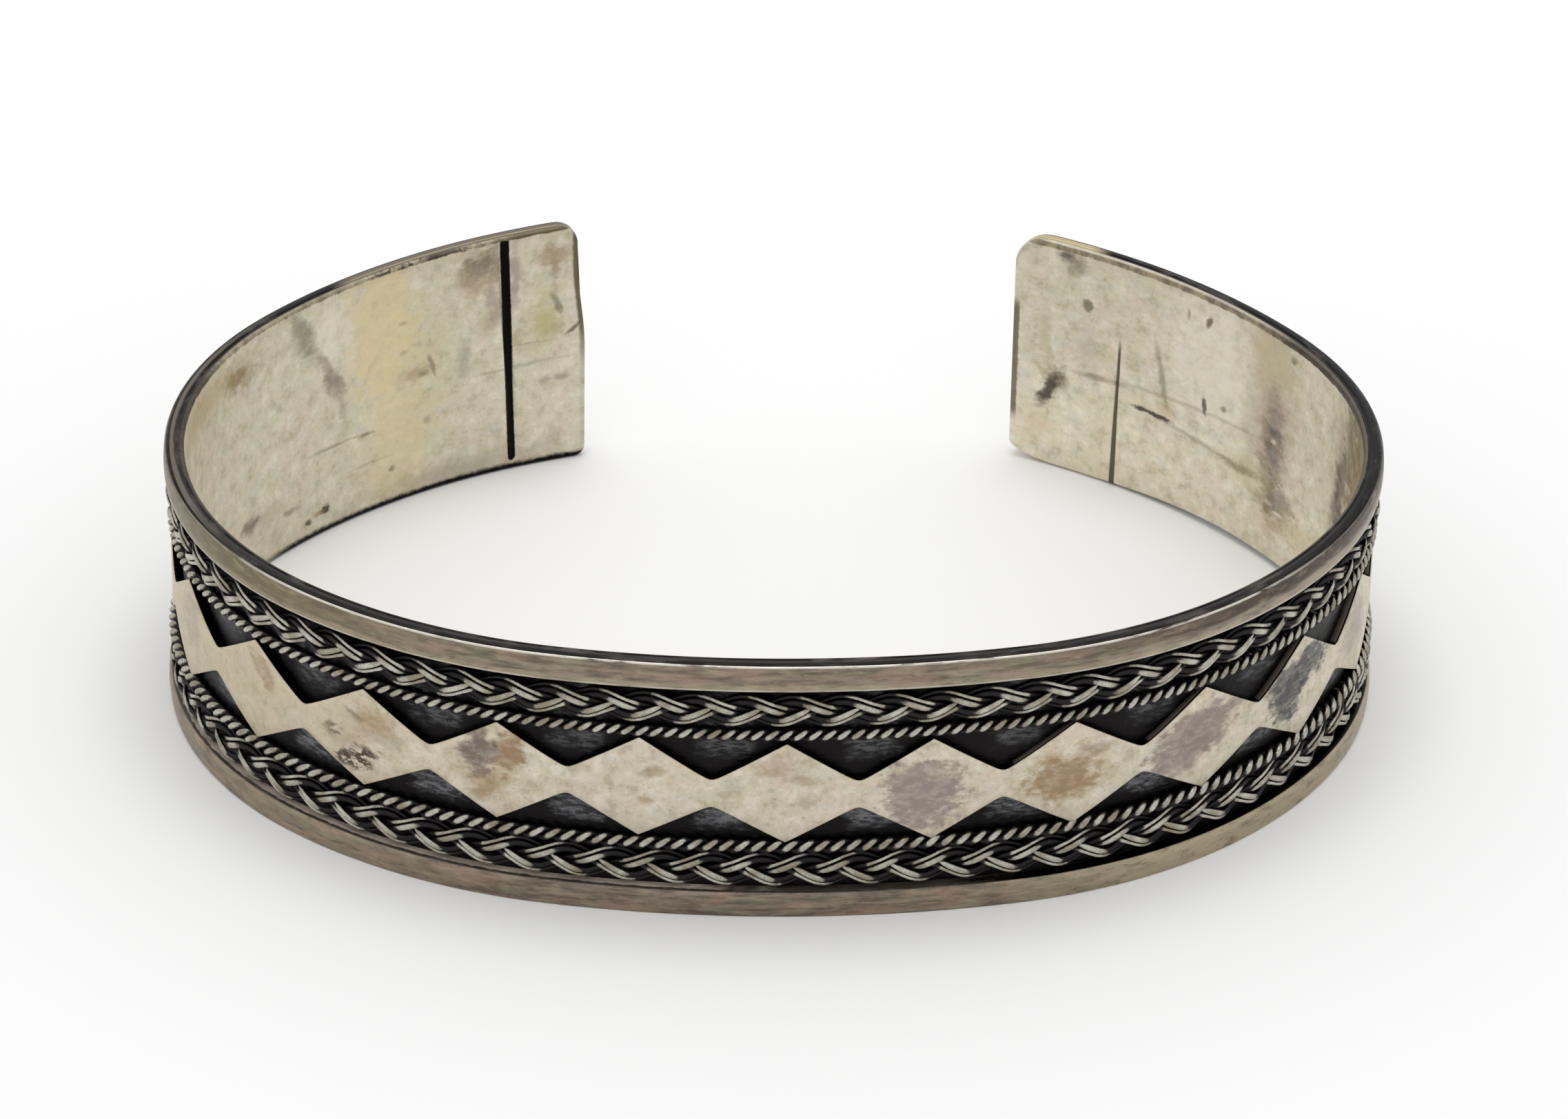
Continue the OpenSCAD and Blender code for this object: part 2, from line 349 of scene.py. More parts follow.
class Tree(Graph):
    """A geometry tree with named inputs."""

    def __init__(self, name):
        super().__init__(bpy.data.node_groups.new(name, "GeometryNodeTree"))
        self.start = self.tree.nodes.new("NodeGroupInput")

    def input(self, name, kind="NodeSocketFloat"):
        self.tree.interface.new_socket(name, in_out="INPUT", socket_type=kind)
        return Link(self, self.find(self.start.outputs, name))

    def measures(self, *names):
        """Adds a number input for each name."""
        return [self.input(name) for name in names]

    def finish(self, geometry):
        self.tree.interface.new_socket("Geometry", in_out="OUTPUT", socket_type="NodeSocketGeometry")
        end = self.tree.nodes.new("NodeGroupOutput")
        self.tree.links.new(geometry.plug, end.inputs[0])

    def geometry(self, kind, geometry, settings=None, values=None, socket="Geometry", out=None):
        """Adds a node that works on a geometry."""
        return self.node(kind, settings, {socket: geometry, **(values or {})}, out)

    def store(self, geometry, name, value, kind="FLOAT"):
        settings = {"data_type": kind, "domain": "POINT"}
        values = {"Name": name, "Value": value}
        return self.geometry("GeometryNodeStoreNamedAttribute", geometry, settings, values)

    def stored(self, name, kind="FLOAT"):
        settings = {"data_type": kind}
        return self.node("GeometryNodeInputNamedAttribute", settings, {"Name": name}, "Attribute")

    def position(self):
        return self.node("GeometryNodeInputPosition")

    def place(self, geometry, position):
        return self.geometry("GeometryNodeSetPosition", geometry, None, {"Position": position})


def lay_on_band_tree():
    """Bends straight work round the cuff: X is the run, Y the depth below the rails' face, Z the height."""
    tree = Tree("lay_on_band")
    work = tree.input("Geometry", "NodeSocketGeometry")
    plan = tree.input("Plan", "NodeSocketObject")
    work = tree.store(work, "place", tree.position() * (1 / MM), "FLOAT_VECTOR")
    along, depth, height = tree.split(tree.position())
    curve = tree.node("GeometryNodeObjectInfo", None, {"Object": plan}, "Geometry")
    values = {"Curves": curve, "Length": along + MIDDLE * MM}
    spot = tree.node("GeometryNodeSampleCurve", {"mode": "LENGTH"}, values, "Position")
    outward = cross(spot.beside("Tangent"), (0, 0, 1))
    bent = spot - outward * depth
    spot_x, spot_y, _ = tree.split(bent)
    reach = (HALF_DEPTH - SLOPE_FROM_Y) * MM
    ramp = least(most((spot_y - SLOPE_FROM_Y * MM) / reach, 0), 1) * above(spot_x, 0)
    share = height / (BAND_HEIGHT * MM)
    lifted = height + ramp * (ARM_LIFT * MM * (1 - share) - ARM_DROP * MM * share)
    tree.finish(tree.place(work, bent + tree.join(0, 0, lifted)))
    return tree.tree


LAY_ON_BAND = lay_on_band_tree()
PLAN_CURVE = plan_curve()


def finish_work(tree, work, has_material=True):
    """Lays the work on the band and gives it its material."""
    values = {"Geometry": work, "Plan": tree.input("Plan", "NodeSocketObject")}
    laid = tree.node("GeometryNodeGroup", {"node_tree": LAY_ON_BAND}, values)
    real = tree.geometry("GeometryNodeRealizeInstances", laid)
    done = tree.geometry("GeometryNodeSetShadeSmooth", real, None, {"Shade Smooth": True})
    if has_material:
        values = {"Material": tree.input("Material", "NodeSocketMaterial")}
        done = tree.geometry("GeometryNodeSetMaterial", done, None, values)
    tree.finish(done)
    return tree.tree


def run_tree(name, tree, inputs, mesh=None):
    """Runs a geometry tree once and keeps its result as a plain mesh."""
    made = add_object(name, mesh or bpy.data.meshes.new(name))
    modifier = made.modifiers.new(name, "NODES")
    modifier.node_group = tree
    for item in tree.interface.items_tree:
        if item.in_out == "INPUT" and item.name in inputs:
            modifier[item.identifier] = inputs[item.name]
    graph = bpy.context.evaluated_depsgraph_get()
    result = bpy.data.meshes.new_from_object(
        made.evaluated_get(graph), preserve_all_data_layers=True, depsgraph=graph
    )
    made.modifiers.clear()
    made.data = result
    result.name = name
    return made


def wires_along(tree, start, end, pitch, stations):
    """Two straight wires side by side, cut into short lengths; gives them with the wire's number."""
    ends = {"Start": tree.join(start, 0, 0), "End": tree.join(end, 0, 0)}
    line = tree.node("GeometryNodeCurvePrimitiveLine", None, ends)
    values = {"Count": (end - start) / pitch * stations}
    line = tree.geometry("GeometryNodeResampleCurve", line, {"mode": "COUNT"}, values, "Curve")
    line = tree.geometry("GeometryNodeDuplicateElements", line, {"domain": "SPLINE"}, {"Amount": WIRES})
    return line, line.beside("Duplicate Index")


def round_ring(tree, radius):
    """The ring that a wire's tube follows."""
    values = {"Resolution": WIRE_SIDES, "Radius": radius}
    return tree.node("GeometryNodeCurvePrimitiveCircle", None, values, "Curve")


def rope_tree():
    """Two round wires twisted together, worn bright where they stand proud and painted bright on their
    upper sides as highlight.
    """
    tree = Tree("twisted_rope")
    start, end, lay, bead_at = tree.measures("From", "To", "Lay", "Bead At")
    wire, depth, height, highlight_up = tree.measures("Wire Radius", "Depth", "Height", "Highlight Up")
    reach = wire * 2
    line, index = wires_along(tree, start, end, lay, STATIONS_A_ROPE_LAY)
    along, _, _ = tree.split(tree.position())
    angle = (along - bead_at) / lay * math.tau + index * (math.tau / WIRES)
    twisted = tree.join(along, depth - wire * cos(angle), height + wire * sin(angle))
    line = tree.place(line, twisted)
    values = {"Profile Curve": round_ring(tree, wire), "Fill Caps": True}
    tube = tree.geometry("GeometryNodeCurveToMesh", line, None, values, "Curve")
    _, y, z = tree.split(tree.position())
    outward = (depth - y) / reach
    upward = (z - height) / reach
    crest = root(outward * outward + upward * upward)
    # A painted highlight turned up from level, together with the most proud crests as wear, makes the
    # bright part
    pale_side = outward * cos(highlight_up) + upward * sin(highlight_up)
    tube = tree.store(tube, "shine", ease(crest * 0.35 + pale_side * 0.65, 0.6, 0.84))
    return finish_work(tree, tube)


def strand_tree():
    """One strand of a flat braid of three: two wires side by side, worn flat where they cross over, painted
    bright where they rise, as wear and highlight, and dark where they dip, as oxide and painted shade.
    """
    tree = Tree("braid_strand")
    start, end, pitch, crossing = tree.measures("From", "To", "Pitch", "Crossing")
    direction, which, half_reach = tree.measures("Direction", "Which", "Half Reach")
    width, thickness, spacing = tree.measures("Wire Width", "Wire Thickness", "Spacing")
    swing, depth, height = tree.measures("Swing", "Depth", "Height")
    turn_in = 0.07
    outer_late = math.radians(6)
    outer_long = 0.38
    brightest = math.radians(75)
    inner_short = 0.52
    outer_sinks = 0.04 * MM
    outer_thins = 0.22
    worn_flat = 0.4
    line, index = wires_along(tree, start, end, pitch, STATIONS_A_BRAID_PITCH)
    side = index * 2 - 1
    along, _, _ = tree.split(tree.position())
    angle = direction * math.tau * (along - crossing) / pitch + math.tau / 4 + which * (math.tau / STRANDS)
    lift = sin(angle * 2)
    sway = (cos(angle) + cos(angle * 3) * turn_in) / (1 + turn_in)
    slant = (sin(angle) + sin(angle * 3) * (3 * turn_in)) / (1 + turn_in)
    slope = slant * direction * half_reach * (-math.tau) / pitch
    aside = side * spacing * 0.5 / root(slope * slope + 1)
    outer = least(most(side * cos(angle) * 2.5, -1), 1)
    y = depth - swing * lift + outer * outer_sinks
    line = tree.place(line, tree.join(along - slope * aside, y, height + half_reach * sway + aside))
    share = outer * 0.5 + 0.5
    leaf = sin(angle * 2 - share * outer_late) + share * outer_long - (1 - share) * inner_short
    line = tree.store(line, "leaf", leaf)
    # Painted highlight along the strand, brightest where it rises at the given angle
    line = tree.store(line, "glow", cos((angle - brightest) * 2) * 0.25 + 0.75)
    line = tree.store(line, "core", tree.position(), "FLOAT_VECTOR")
    line = tree.geometry("GeometryNodeSetCurveNormal", line, {"mode": "Z_UP"}, None, "Curve")
    values = {"Scale": tree.join(thickness, width, 1)}
    ring = tree.geometry("GeometryNodeTransform", round_ring(tree, 0.5), None, values)
    values = {"Profile Curve": ring, "Fill Caps": True, "Scale": 1 - outer * outer_thins}
    tube = tree.geometry("GeometryNodeCurveToMesh", line, None, values, "Curve")
    core = tree.stored("core", "FLOAT_VECTOR")
    x, y, z = tree.split(tree.position() - core)
    facing = -y / (thickness * 0.5)
    shine = ease(facing - 1 + tree.stored("leaf") * 2, -0.3, 0.3)
    tube = tree.store(tube, "shine", shine * tree.stored("glow"))
    tube = tree.place(tube, core + tree.join(x, most(y, thickness * -worn_flat), z))
    for name in ("core", "leaf", "glow"):
        tube = tree.geometry("GeometryNodeRemoveAttribute", tube, None, {"Name": name})
    return finish_work(tree, tube)


def bend_tree():
    """Bends a piece that was modelled straight."""
    tree = Tree("bend")
    return finish_work(tree, tree.input("Geometry", "NodeSocketGeometry"), False)


# Band


def smoothstep(value, low, high):
    """Goes smoothly from 0 to 1 while value goes from low to high."""
    share = min(max((value - low) / (high - low), 0), 1)
    return share * share * (3 - 2 * share)


def arm_ramp(along):
    """How far the right arm has narrowed at this length of the run, from 0 to 1."""
    if along < 0:
        return 0
    k = min(max(bisect.bisect_left(LENGTHS, along + MIDDLE), 1), len(PLAN) - 1)
    share = (along + MIDDLE - LENGTHS[k - 1]) / (LENGTHS[k] - LENGTHS[k - 1])
    y = PLAN[k - 1].y + (PLAN[k].y - PLAN[k - 1].y) * share
    return min(max((y - SLOPE_FROM_Y) / (HALF_DEPTH - SLOPE_FROM_Y), 0), 1)


def rounded(start, corner, end, steps):
    """Points of a quarter round, without its two ends; corner is where the edges would meet."""
    found = []
    for k in range(1, steps):
        t = math.pi / 2 * k / steps
        from_start = Vector(end) - Vector(corner)
        from_end = Vector(start) - Vector(corner)
        centre = Vector(corner) + from_start + from_end
        found.append(tuple(centre - from_start * math.cos(t) - from_end * math.sin(t)))
    return found


INSIDE, RIM, RAIL, GROUND = range(4)


def half_section(rail_height, rail_edge, outer_bevel):
    """Half of the section, inside first, as (depth, height above the middle, zone of the next face)."""
    half = BAND_HEIGHT / 2
    seam = 0.03
    wall_steps = 12
    ground_steps = 8
    face_steps = 6
    points = [(WALL, k / wall_steps * (half - INNER_BEVEL), INSIDE) for k in range(1, wall_steps + 1)]
    top_in = (WALL, half - INNER_BEVEL)
    top_out = (WALL - INNER_BEVEL, half)
    points += [(*p, INSIDE) for p in rounded(top_in, (WALL, half), top_out, 4)]
    points += [(*top_out, RIM)]
    points += [(GROUND_DEPTH + seam, half, RIM), (GROUND_DEPTH, half - seam, RIM)]
    points += [(GROUND_DEPTH - seam, half, RIM)]
    points += [((outer_bevel + GROUND_DEPTH) / 2, half, RIM), (outer_bevel, half, RAIL)]
    face_top = (RAIL_CROWN, half - outer_bevel)
    edge_in, edge_up = rail_edge
    face_foot = (RAIL_CROWN, half - rail_height + edge_up)
    points += [(*p, RAIL) for p in rounded((outer_bevel, half), (RAIL_CROWN, half), face_top, 5)]
    for k in range(face_steps + 1):
        t = k / face_steps
        crown = RAIL_CROWN * (2 * t - 1) ** 2
        points.append((crown, face_top[1] + (face_foot[1] - face_top[1]) * t, RAIL))
    step_out = (edge_in, half - rail_height)
    points += [(*p, RAIL) for p in rounded(face_foot, (RAIL_CROWN, half - rail_height), step_out, 3)]
    ground_top = half - rail_height
    points += [(*step_out, RAIL), (edge_in + seam, ground_top, RAIL)]
    points += [(GROUND_DEPTH - seam, ground_top, RAIL), (GROUND_DEPTH, ground_top, GROUND)]
    points += [(GROUND_DEPTH, ground_top - seam, GROUND)]
    points += [(GROUND_DEPTH, ground_top * (1 - k / ground_steps), GROUND) for k in range(1, ground_steps)]
    return points


def section(outer_bevel):
    """The whole section as a closed ring of (depth, height, zone)."""
    middle = BAND_HEIGHT / 2
    upper = half_section(UPPER_RAIL_HEIGHT, UPPER_RAIL_EDGE, outer_bevel)
    lower = half_section(LOWER_RAIL_HEIGHT, LOWER_RAIL_EDGE, outer_bevel)
    ring = [(WALL, middle, INSIDE)]
    ring += [(d, middle + z, zone) for d, z, zone in upper]
    ring += [(GROUND_DEPTH, middle, GROUND)]
    before = [INSIDE] + [zone for _, _, zone in lower]
    ring += [(d, middle - z, before[k]) for k, (d, z, _) in reversed(list(enumerate(lower)))]
    return ring


def stations():
    """Lengths along the run where the band has a section, closer at its tips, plates and scored lines."""
    step = 0.25
    beside_line = (0.3, 0.7, 0.9, 1.1, 1.35)
    beside_tip = (0.02, 0.05, 0.1, 0.17, 0.35)
    beside_plate = 0.04
    clear_of_line = 1.5
    count = round(RUN / step)
    found = {LEFT_END + RUN * k / count for k in range(count + 1)}
    for foot, lean, half_width, *_ in GROOVES:
        middle = foot + lean * BAND_HEIGHT / 2
        found = {s for s in found if abs(s - middle) > half_width * clear_of_line}
        found |= {middle + way * half_width * t for t in beside_line for way in (-1, 1)}
    for end, way in ((LEFT_END, 1), (RIGHT_END, -1)):
        found |= {end + way * t for t in beside_tip}
    for edge in (ORNAMENT_LEFT, ORNAMENT_RIGHT):
        found |= {edge - beside_plate, edge, edge + beside_plate}
    return sorted(found)


def corner_drop(from_tip, width, height):
    """How far a tip's rounded corner has come in at a distance from the tip."""
    share = max(0, 1 - from_tip / width)
    return height * (1 - math.sqrt(1 - share * share))


def scored(s, z):
    """How deep the scored lines cut the inner face here."""
    cut = 0
    for foot, lean, half_width, low, high, depth in GROOVES:
        aside = abs(s - foot - lean * z)
        ends = smoothstep(z, low - 0.1, low + 0.2) * smoothstep(z, high + 0.3, high - 0.5)
        cut += depth * ends * smoothstep(aside, half_width * 1.1, half_width * 0.7)
    return cut


def waves(along, height):
    """Smooth unevenness of hand work."""
    return WAVE_SIZE * noise.noise(Vector((along * WAVE_SCALE, height * WAVE_SCALE, WAVE_SEED))) - WAVES_IN


def band_point(s, depth, z, zone, is_plate, outer_bevel):
    """Where a point of the section goes once the plates, tips and scored lines are cut, in millimetres."""
    from_tip = min(s - LEFT_END, RIGHT_END - s)
    top, foot = (LEFT_TIP_TOP, LEFT_TIP_FOOT) if s < 0 else (RIGHT_TIP_TOP, RIGHT_TIP_FOOT)
    face = max(BAND_HEIGHT / 2 - outer_bevel - 0.01, 0)
    if is_plate and zone in (RAIL, GROUND) and abs(z - BAND_HEIGHT / 2) < face:
        depth = RAIL_CROWN / 2
    foot_drop = corner_drop(from_tip, *foot)
    z = foot_drop + z * (BAND_HEIGHT - foot_drop - corner_drop(from_tip, *top)) / BAND_HEIGHT
    if depth > WALL - INNER_BEVEL * 0.9:
        depth -= scored(s, z)
    if zone == INSIDE and depth > WALL - 0.2:
        depth += waves(s, z)
    inset = corner_drop(from_tip, TIP_EDGE, TIP_EDGE)
    depth = min(max(depth, inset), WALL - inset)
    if s < 0:
        s += LEFT_TIP_SLANT * smoothstep(z, SLANT_FROM_Z, SLANT_TO_Z) * max(0, 1 - from_tip / SLANT_REACH)
    if s > 0:
        down = FOOT_DOWN * ARM_LIFT * arm_ramp(s) * smoothstep(s, FOOT_FROM, FOOT_TO)
        z -= down * (1 - z / BAND_HEIGHT)
    for foot, lean, *_ in GROOVES:
        near = smoothstep(abs(s - foot - lean * BAND_HEIGHT / 2), LEAN_NONE, LEAN_FULL)
        s += lean * (z - BAND_HEIGHT / 2) * near
    return s, depth, z


def finished_mesh(name, mesh, materials):
    """The worked mesh as a plain one with its materials."""
    bmesh.ops.recalc_face_normals(mesh, faces=mesh.faces)
    made = bpy.data.meshes.new(name)
    mesh.to_mesh(made)
    mesh.free()
    for material in materials:
        made.materials.append(material)
    return made


def band_mesh(materials):
    """The sheet with its two rails and plain end plates, modelled straight."""
    mesh = bmesh.new()
    rows = []
    spots = []
    for s in stations():
        if s in (ORNAMENT_LEFT, ORNAMENT_RIGHT):
            spots += [(s, s == ORNAMENT_LEFT), (s, s != ORNAMENT_LEFT)]
        else:
            spots.append((s, s < ORNAMENT_LEFT or s > ORNAMENT_RIGHT))
    for s, is_plate in spots:
        outer_bevel = FRONT_BEVEL + (SIDE_BEVEL - FRONT_BEVEL) * smoothstep(abs(s), SIDE_FROM, SIDE_TO)
        ring = section(outer_bevel)
        row = []
        for depth, z, zone in ring:
            place = band_point(s, depth, z, zone, is_plate, outer_bevel)
            row.append(mesh.verts.new(Vector(place) * MM))
        rows.append((row, is_plate))
    for (left, left_plate), (right, right_plate) in zip(rows, rows[1:]):
        for k in range(len(ring)):
            nxt = (k + 1) % len(ring)
            face = mesh.faces.new((left[k], left[nxt], right[nxt], right[k]))
            zone = ring[k][2]
            if zone == GROUND and left_plate and right_plate:
                zone = RAIL
            face.material_index = zone
            face.smooth = True
    for row, _ in (rows[0], rows[-1]):
        mesh.faces.new(row).material_index = INSIDE
    bmesh.ops.remove_doubles(mesh, verts=mesh.verts, dist=WELD * MM)
    return finished_mesh("band_straight", mesh, materials)


# Lozenges


def strip_outline():
    """The strip's edges as (along, upper edge, lower edge), from its left neck to its right one."""
    necks = list(NECKS)
    lozenges = list(LOZENGES)
    while necks[0][0] - LOZENGE_PITCH > ORNAMENT_LEFT + END_GAP:
        lozenges.insert(0, (necks[0][0] - LOZENGE_PITCH / 2, *OTHER_LOZENGE))
        necks.insert(0, (necks[0][0] - LOZENGE_PITCH, *OTHER_NECK))
    while necks[-1][0] + LOZENGE_PITCH < ORNAMENT_RIGHT - END_GAP:
        lozenges.append((necks[-1][0] + LOZENGE_PITCH / 2, *OTHER_LOZENGE))
        necks.append((necks[-1][0] + LOZENGE_PITCH, *OTHER_NECK))
    notch_round = 0.24
    flank = (0.1, 0.2, 0.32, 0.46, 0.65, 1.0, 1.5, 2.1, 2.8)

    def rise(away):
        return math.hypot(away, notch_round) - notch_round

    found = []
    for neck, lozenge, next_neck in zip(necks, lozenges, necks[1:]):
        for low, way in ((neck, 1), (next_neck, -1)):
            run = abs(lozenge[0] - low[0])
            half = [low]
            for away in flank:
                share = rise(away) / rise(run)
                edges = (a + (b - a) * share for a, b in zip(low[1:], lozenge[1:]))
                half.append((low[0] + way * away, *edges))
            half.append(lozenge)
            found += half if way > 0 else list(reversed(half))[1:-1]
    return found + [necks[-1]]


def strip_mesh(material):
    """The flat strip with softened edges, standing on the dark ground."""
    edge = 0.05
    worn = edge * 0.3
    flat_rows = 6
    foot = GROUND_DEPTH + 0.02
    mesh = bmesh.new()
    columns = []
    for s, top, low in strip_outline():
        column = [(foot, low), (LOZENGE_DEPTH + edge, low), (LOZENGE_DEPTH + worn, low + worn)]
        inner_low, inner_top = low + edge, top - edge
        for k in range(flat_rows + 1):
            column.append((LOZENGE_DEPTH, inner_low + (inner_top - inner_low) * k / flat_rows))
        column += [(LOZENGE_DEPTH + worn, top - worn), (LOZENGE_DEPTH + edge, top), (foot, top)]
        columns.append([mesh.verts.new((s * MM, y * MM, z * MM)) for y, z in column])
    for left, right in zip(columns, columns[1:]):
        for k in range(len(left)):
            nxt = (k + 1) % len(left)
            mesh.faces.new((left[k], right[k], right[nxt], left[nxt])).smooth = True
    mesh.faces.new(columns[0])
    mesh.faces.new(columns[-1])
    return finished_mesh("strip_straight", mesh, [material])


# Materials


def tone(red, green, blue):
    """A colour as seen on screen, 0 to 255, as the shader's own light values."""

    def light(value):
        part = value / 255
        return part / 12.92 if part <= 0.04045 else ((part + 0.055) / 1.055) ** 2.4

    return (light(red), light(green), light(blue), 1.0)


GREENISH_SILVER = tone(198, 192, 170)
PINKISH_SILVER = tone(202, 191, 174)
BRIGHT_SILVER = tone(218, 211, 196)
BLUSH_SILVER = tone(205, 188, 168)
COOL_SILVER = tone(194, 194, 186)
DULL_SILVER = tone(164, 154, 128)
WARM_SILVER = tone(184, 170, 140)
CREAM = tone(208, 193, 152)
TAUPE = tone(134, 124, 110)
DARK_TAUPE = tone(92, 84, 75)
STRAW = tone(176, 166, 138)
PINK_TAUPE = tone(150, 126, 112)
GREEN_TAUPE = tone(136, 134, 108)
BROWN = tone(142, 114, 84)
DARK_BROWN = tone(92, 72, 56)
VIOLET = tone(144, 131, 126)
MURK = tone(108, 97, 84)
SLATE = tone(92, 94, 96)
OCHRE = tone(164, 142, 90)
DARK_OCHRE = tone(118, 99, 54)
LICHEN = tone(172, 166, 98)
OLIVE = tone(104, 98, 72)
SOOT = tone(58, 50, 44)
BLACK = tone(20, 18, 18)
GROUND_BLACK = tone(32, 30, 30)
WIRE_BLACK = tone(48, 46, 46)
PAINTED_SHEEN_GREY = tone(118, 119, 122)
LEDGE = tone(96, 90, 80)
PALE_LEDGE = tone(250, 232, 214)
SCORE = tone(70, 66, 48)
WIRE = tone(196, 194, 182)
DULL_WIRE = tone(148, 140, 120)
EDGE = tone(206, 202, 192)
FLOOR = tone(250, 250, 250)

# What the metal sees is dimmer than the lamps: each finish is lightened by this to look its tone
LOZENGE_GAIN = 1.1
RAIL_GAIN = 1.25
WALL_GAIN = (1.15, 1.175, 1.18)

# Height in millimetres of a bump of 1
BUMP = 0.02


class Finish(Graph):
    """A metal finish laid out along the run and height of the band."""

    def __init__(self, name, colour):
        self.colour = colour
        self.material = bpy.data.materials.new(name)
        self.material.use_nodes = True
        super().__init__(self.material.node_tree)
        self.tree.nodes.clear()
        self.spot = self.node("ShaderNodeAttribute", {"attribute_name": "place"}, None, "Vector")
        self.place = self.split(self.spot)
        self.ragged = None

    def shader(self, metallic, roughness, normal=None):
        surface = self.tree.nodes.new("ShaderNodeBsdfPrincipled")
        self.feed(surface.inputs["Base Color"], self.colour)
        self.feed(surface.inputs["Metallic"], metallic)
        self.feed(surface.inputs["Roughness"], roughness)
        if normal is not None:
            self.feed(surface.inputs["Normal"], normal)
        end = self.tree.nodes.new("ShaderNodeOutputMaterial")
        self.tree.links.new(surface.outputs[0], end.inputs["Surface"])
        return self.material

    def bump(self, height):
        values = {"Height": height, "Distance": BUMP * MM, "Strength": 1}
        return self.node("ShaderNodeBump", None, values, "Normal")

    def noise(self, scale, detail=2, roughness=0.5, spot=None, out="Fac"):
        values = {"Vector": spot or self.spot, "Scale": scale, "Detail": detail, "Roughness": roughness}
        return self.node("ShaderNodeTexNoise", None, values, out)

    def grain(self, stretch, scale, detail=2, roughness=0.5):
        """Noise with each direction scaled, so that its grain runs one way."""
        return self.noise(scale, detail, roughness, self.spot * stretch)

    def lay(self, share, shade):
        """Lays a tone over the colour so far."""
        self.colour = self.mix(share, self.colour, shade)

    def warped(self, size, scale):
        """The spot pushed about by noise."""
        push = self.noise(scale, 3, 0.6, out="Color")
        return self.spot + (push - (0.5, 0.5, 0.5)) * (2 * size)

    def blot(self, spot, along, up, half_along, half_up, soft=0.8, turn=0):
        """A ragged patch for stains and painted shadows: 1 in an ellipse on the band's face, 0 outside it.
        """
        if self.ragged is None:
            self.ragged = (self.grain((0.8, 1, 1.3), 1.3, 5, 0.7) - 0.5) * 2.6
        angle = math.radians(turn)
        c, s = math.cos(angle), math.sin(angle)
        away = spot - (along, 0, up)
        a = dot(away, (c / half_along, 0, s / half_along))
        b = dot(away, (-s / half_up, 0, c / half_up))
        reach = root(a * a + b * b) + self.ragged
        return ease(reach, 1 - soft, 1 + soft, 1, 0)

    def stain(self, spot, grain, rows):
        """Lays a table of stains, which may also hold painted shadows. A row is a tone, a strength and the
        arguments of blot.
        """
        bare = self.colour
        for shade, strength, *shape in rows:
            self.lay(self.blot(spot, *shape) * strength, shade)
        self.colour = self.mix(grain, bare, self.colour)


def lay_silver(coat, patch, fine):
    """Worn pale silver, mottled with greenish, pinkish, bright and dull flecks."""
    cloud = coat.noise(0.4, 3, 0.55)
    coat.lay(ease(cloud, 0.38, 0.62), PINKISH_SILVER)
    coat.lay(ease(patch, 0.5, 0.66) * 0.6, DULL_SILVER)
    coat.lay(ease(patch, 0.5, 0.36) * 0.6, BRIGHT_SILVER)
    blush = coat.grain((0.7, 1, 1.4), 0.8, 4, 0.65)
    coat.lay(ease(blush, 0.52, 0.64) * 0.4, BLUSH_SILVER)
    coat.lay(ease(blush, 0.46, 0.34) * 0.4, COOL_SILVER)
    coat.lay(ease(fine, 0.54, 0.72) * 0.4, STRAW)


LOZENGE_STAINS = (
    (VIOLET, 0.35, -36.6, 8, 1.3, 1.4, 0.5),
    (BROWN, 0.5, -28.6, 8.9, 0.9, 0.55, 0.5, -25),
    (BROWN, 0.4, -28, 8.2, 0.35, 0.6, 0.5),
    (BROWN, 0.5, -20.9, 8.2, 1.5, 0.75, 0.8, -8),
    (OCHRE, 0.25, -20.6, 8.5, 0.9, 0.6),
    (MURK, 0.5, -22.1, 8.6, 0.5, 0.15, 0.8, -20),
    (BROWN, 0.3, -22.6, 7, 1.2, 0.6),
    (OCHRE, 0.4, -14.2, 7.8, 1.7, 1.8, 0.6, -10),
    (BROWN, 0.85, -13.4, 8.4, 1.15, 1.1, 0.3, -10),
    (VIOLET, 1, -14.9, 8.3, 0.9, 1.3, 0.35),
    (MURK, 0.7, -14.9, 8.4, 0.65, 1.05, 0.6),
    (BROWN, 0.5, -14.6, 6.2, 0.6, 0.9, 0.6, -8),
    (DARK_BROWN, 0.8, -14.1, 8.8, 0.22, 0.18, 0.5),
    (BROWN, 0.6, -5.9, 8.25, 0.65, 0.22, 0.8, 8),
    (BROWN, 0.5, -6.1, 6.6, 0.3, 0.16),
    (BROWN, 0.4, 0.5, 8.7, 0.95, 0.5, 0.8, 10),
    (BROWN, 0.5, 1.8, 7.9, 0.75, 0.25, 0.8, -10),
    (VIOLET, 0.95, 7.95, 7, 2.1, 1.85, 0.25),
    (STRAW, 0.3, 8.8, 8.2, 0.8, 0.5, 0.5),
    (OCHRE, 0.5, 15.5, 7.2, 2, 1.5, 0.4, 8),
    (BROWN, 0.75, 15.4, 6.9, 1.7, 1.2, 0.4, 8),
    (VIOLET, 0.5, 16.9, 8.4, 0.9, 0.3),
    (VIOLET, 0.9, 23.3, 7.7, 2.6, 1.4, 0.3, 14),
    (VIOLET, 0.85, 22.2, 6.6, 1.5, 1.2, 0.4),
    (MURK, 0.2, 23.6, 7.6, 1.8, 1.1, 0.6, 14),
    (SLATE, 0.95, 30.1, 7.2, 1.35, 1.9, 0.3, 5),
    (SLATE, 1, 32, 8.2, 1.7, 1, 0.3, 8),
    (SOOT, 0.4, 30.3, 7.3, 1.2, 1.5, 0.6),
    (SOOT, 0.25, 32, 8.2, 1.2, 0.7, 0.6, 8),
    (VIOLET, 0.6, 38, 7.5, 1.8, 1.6, 0.5),
)


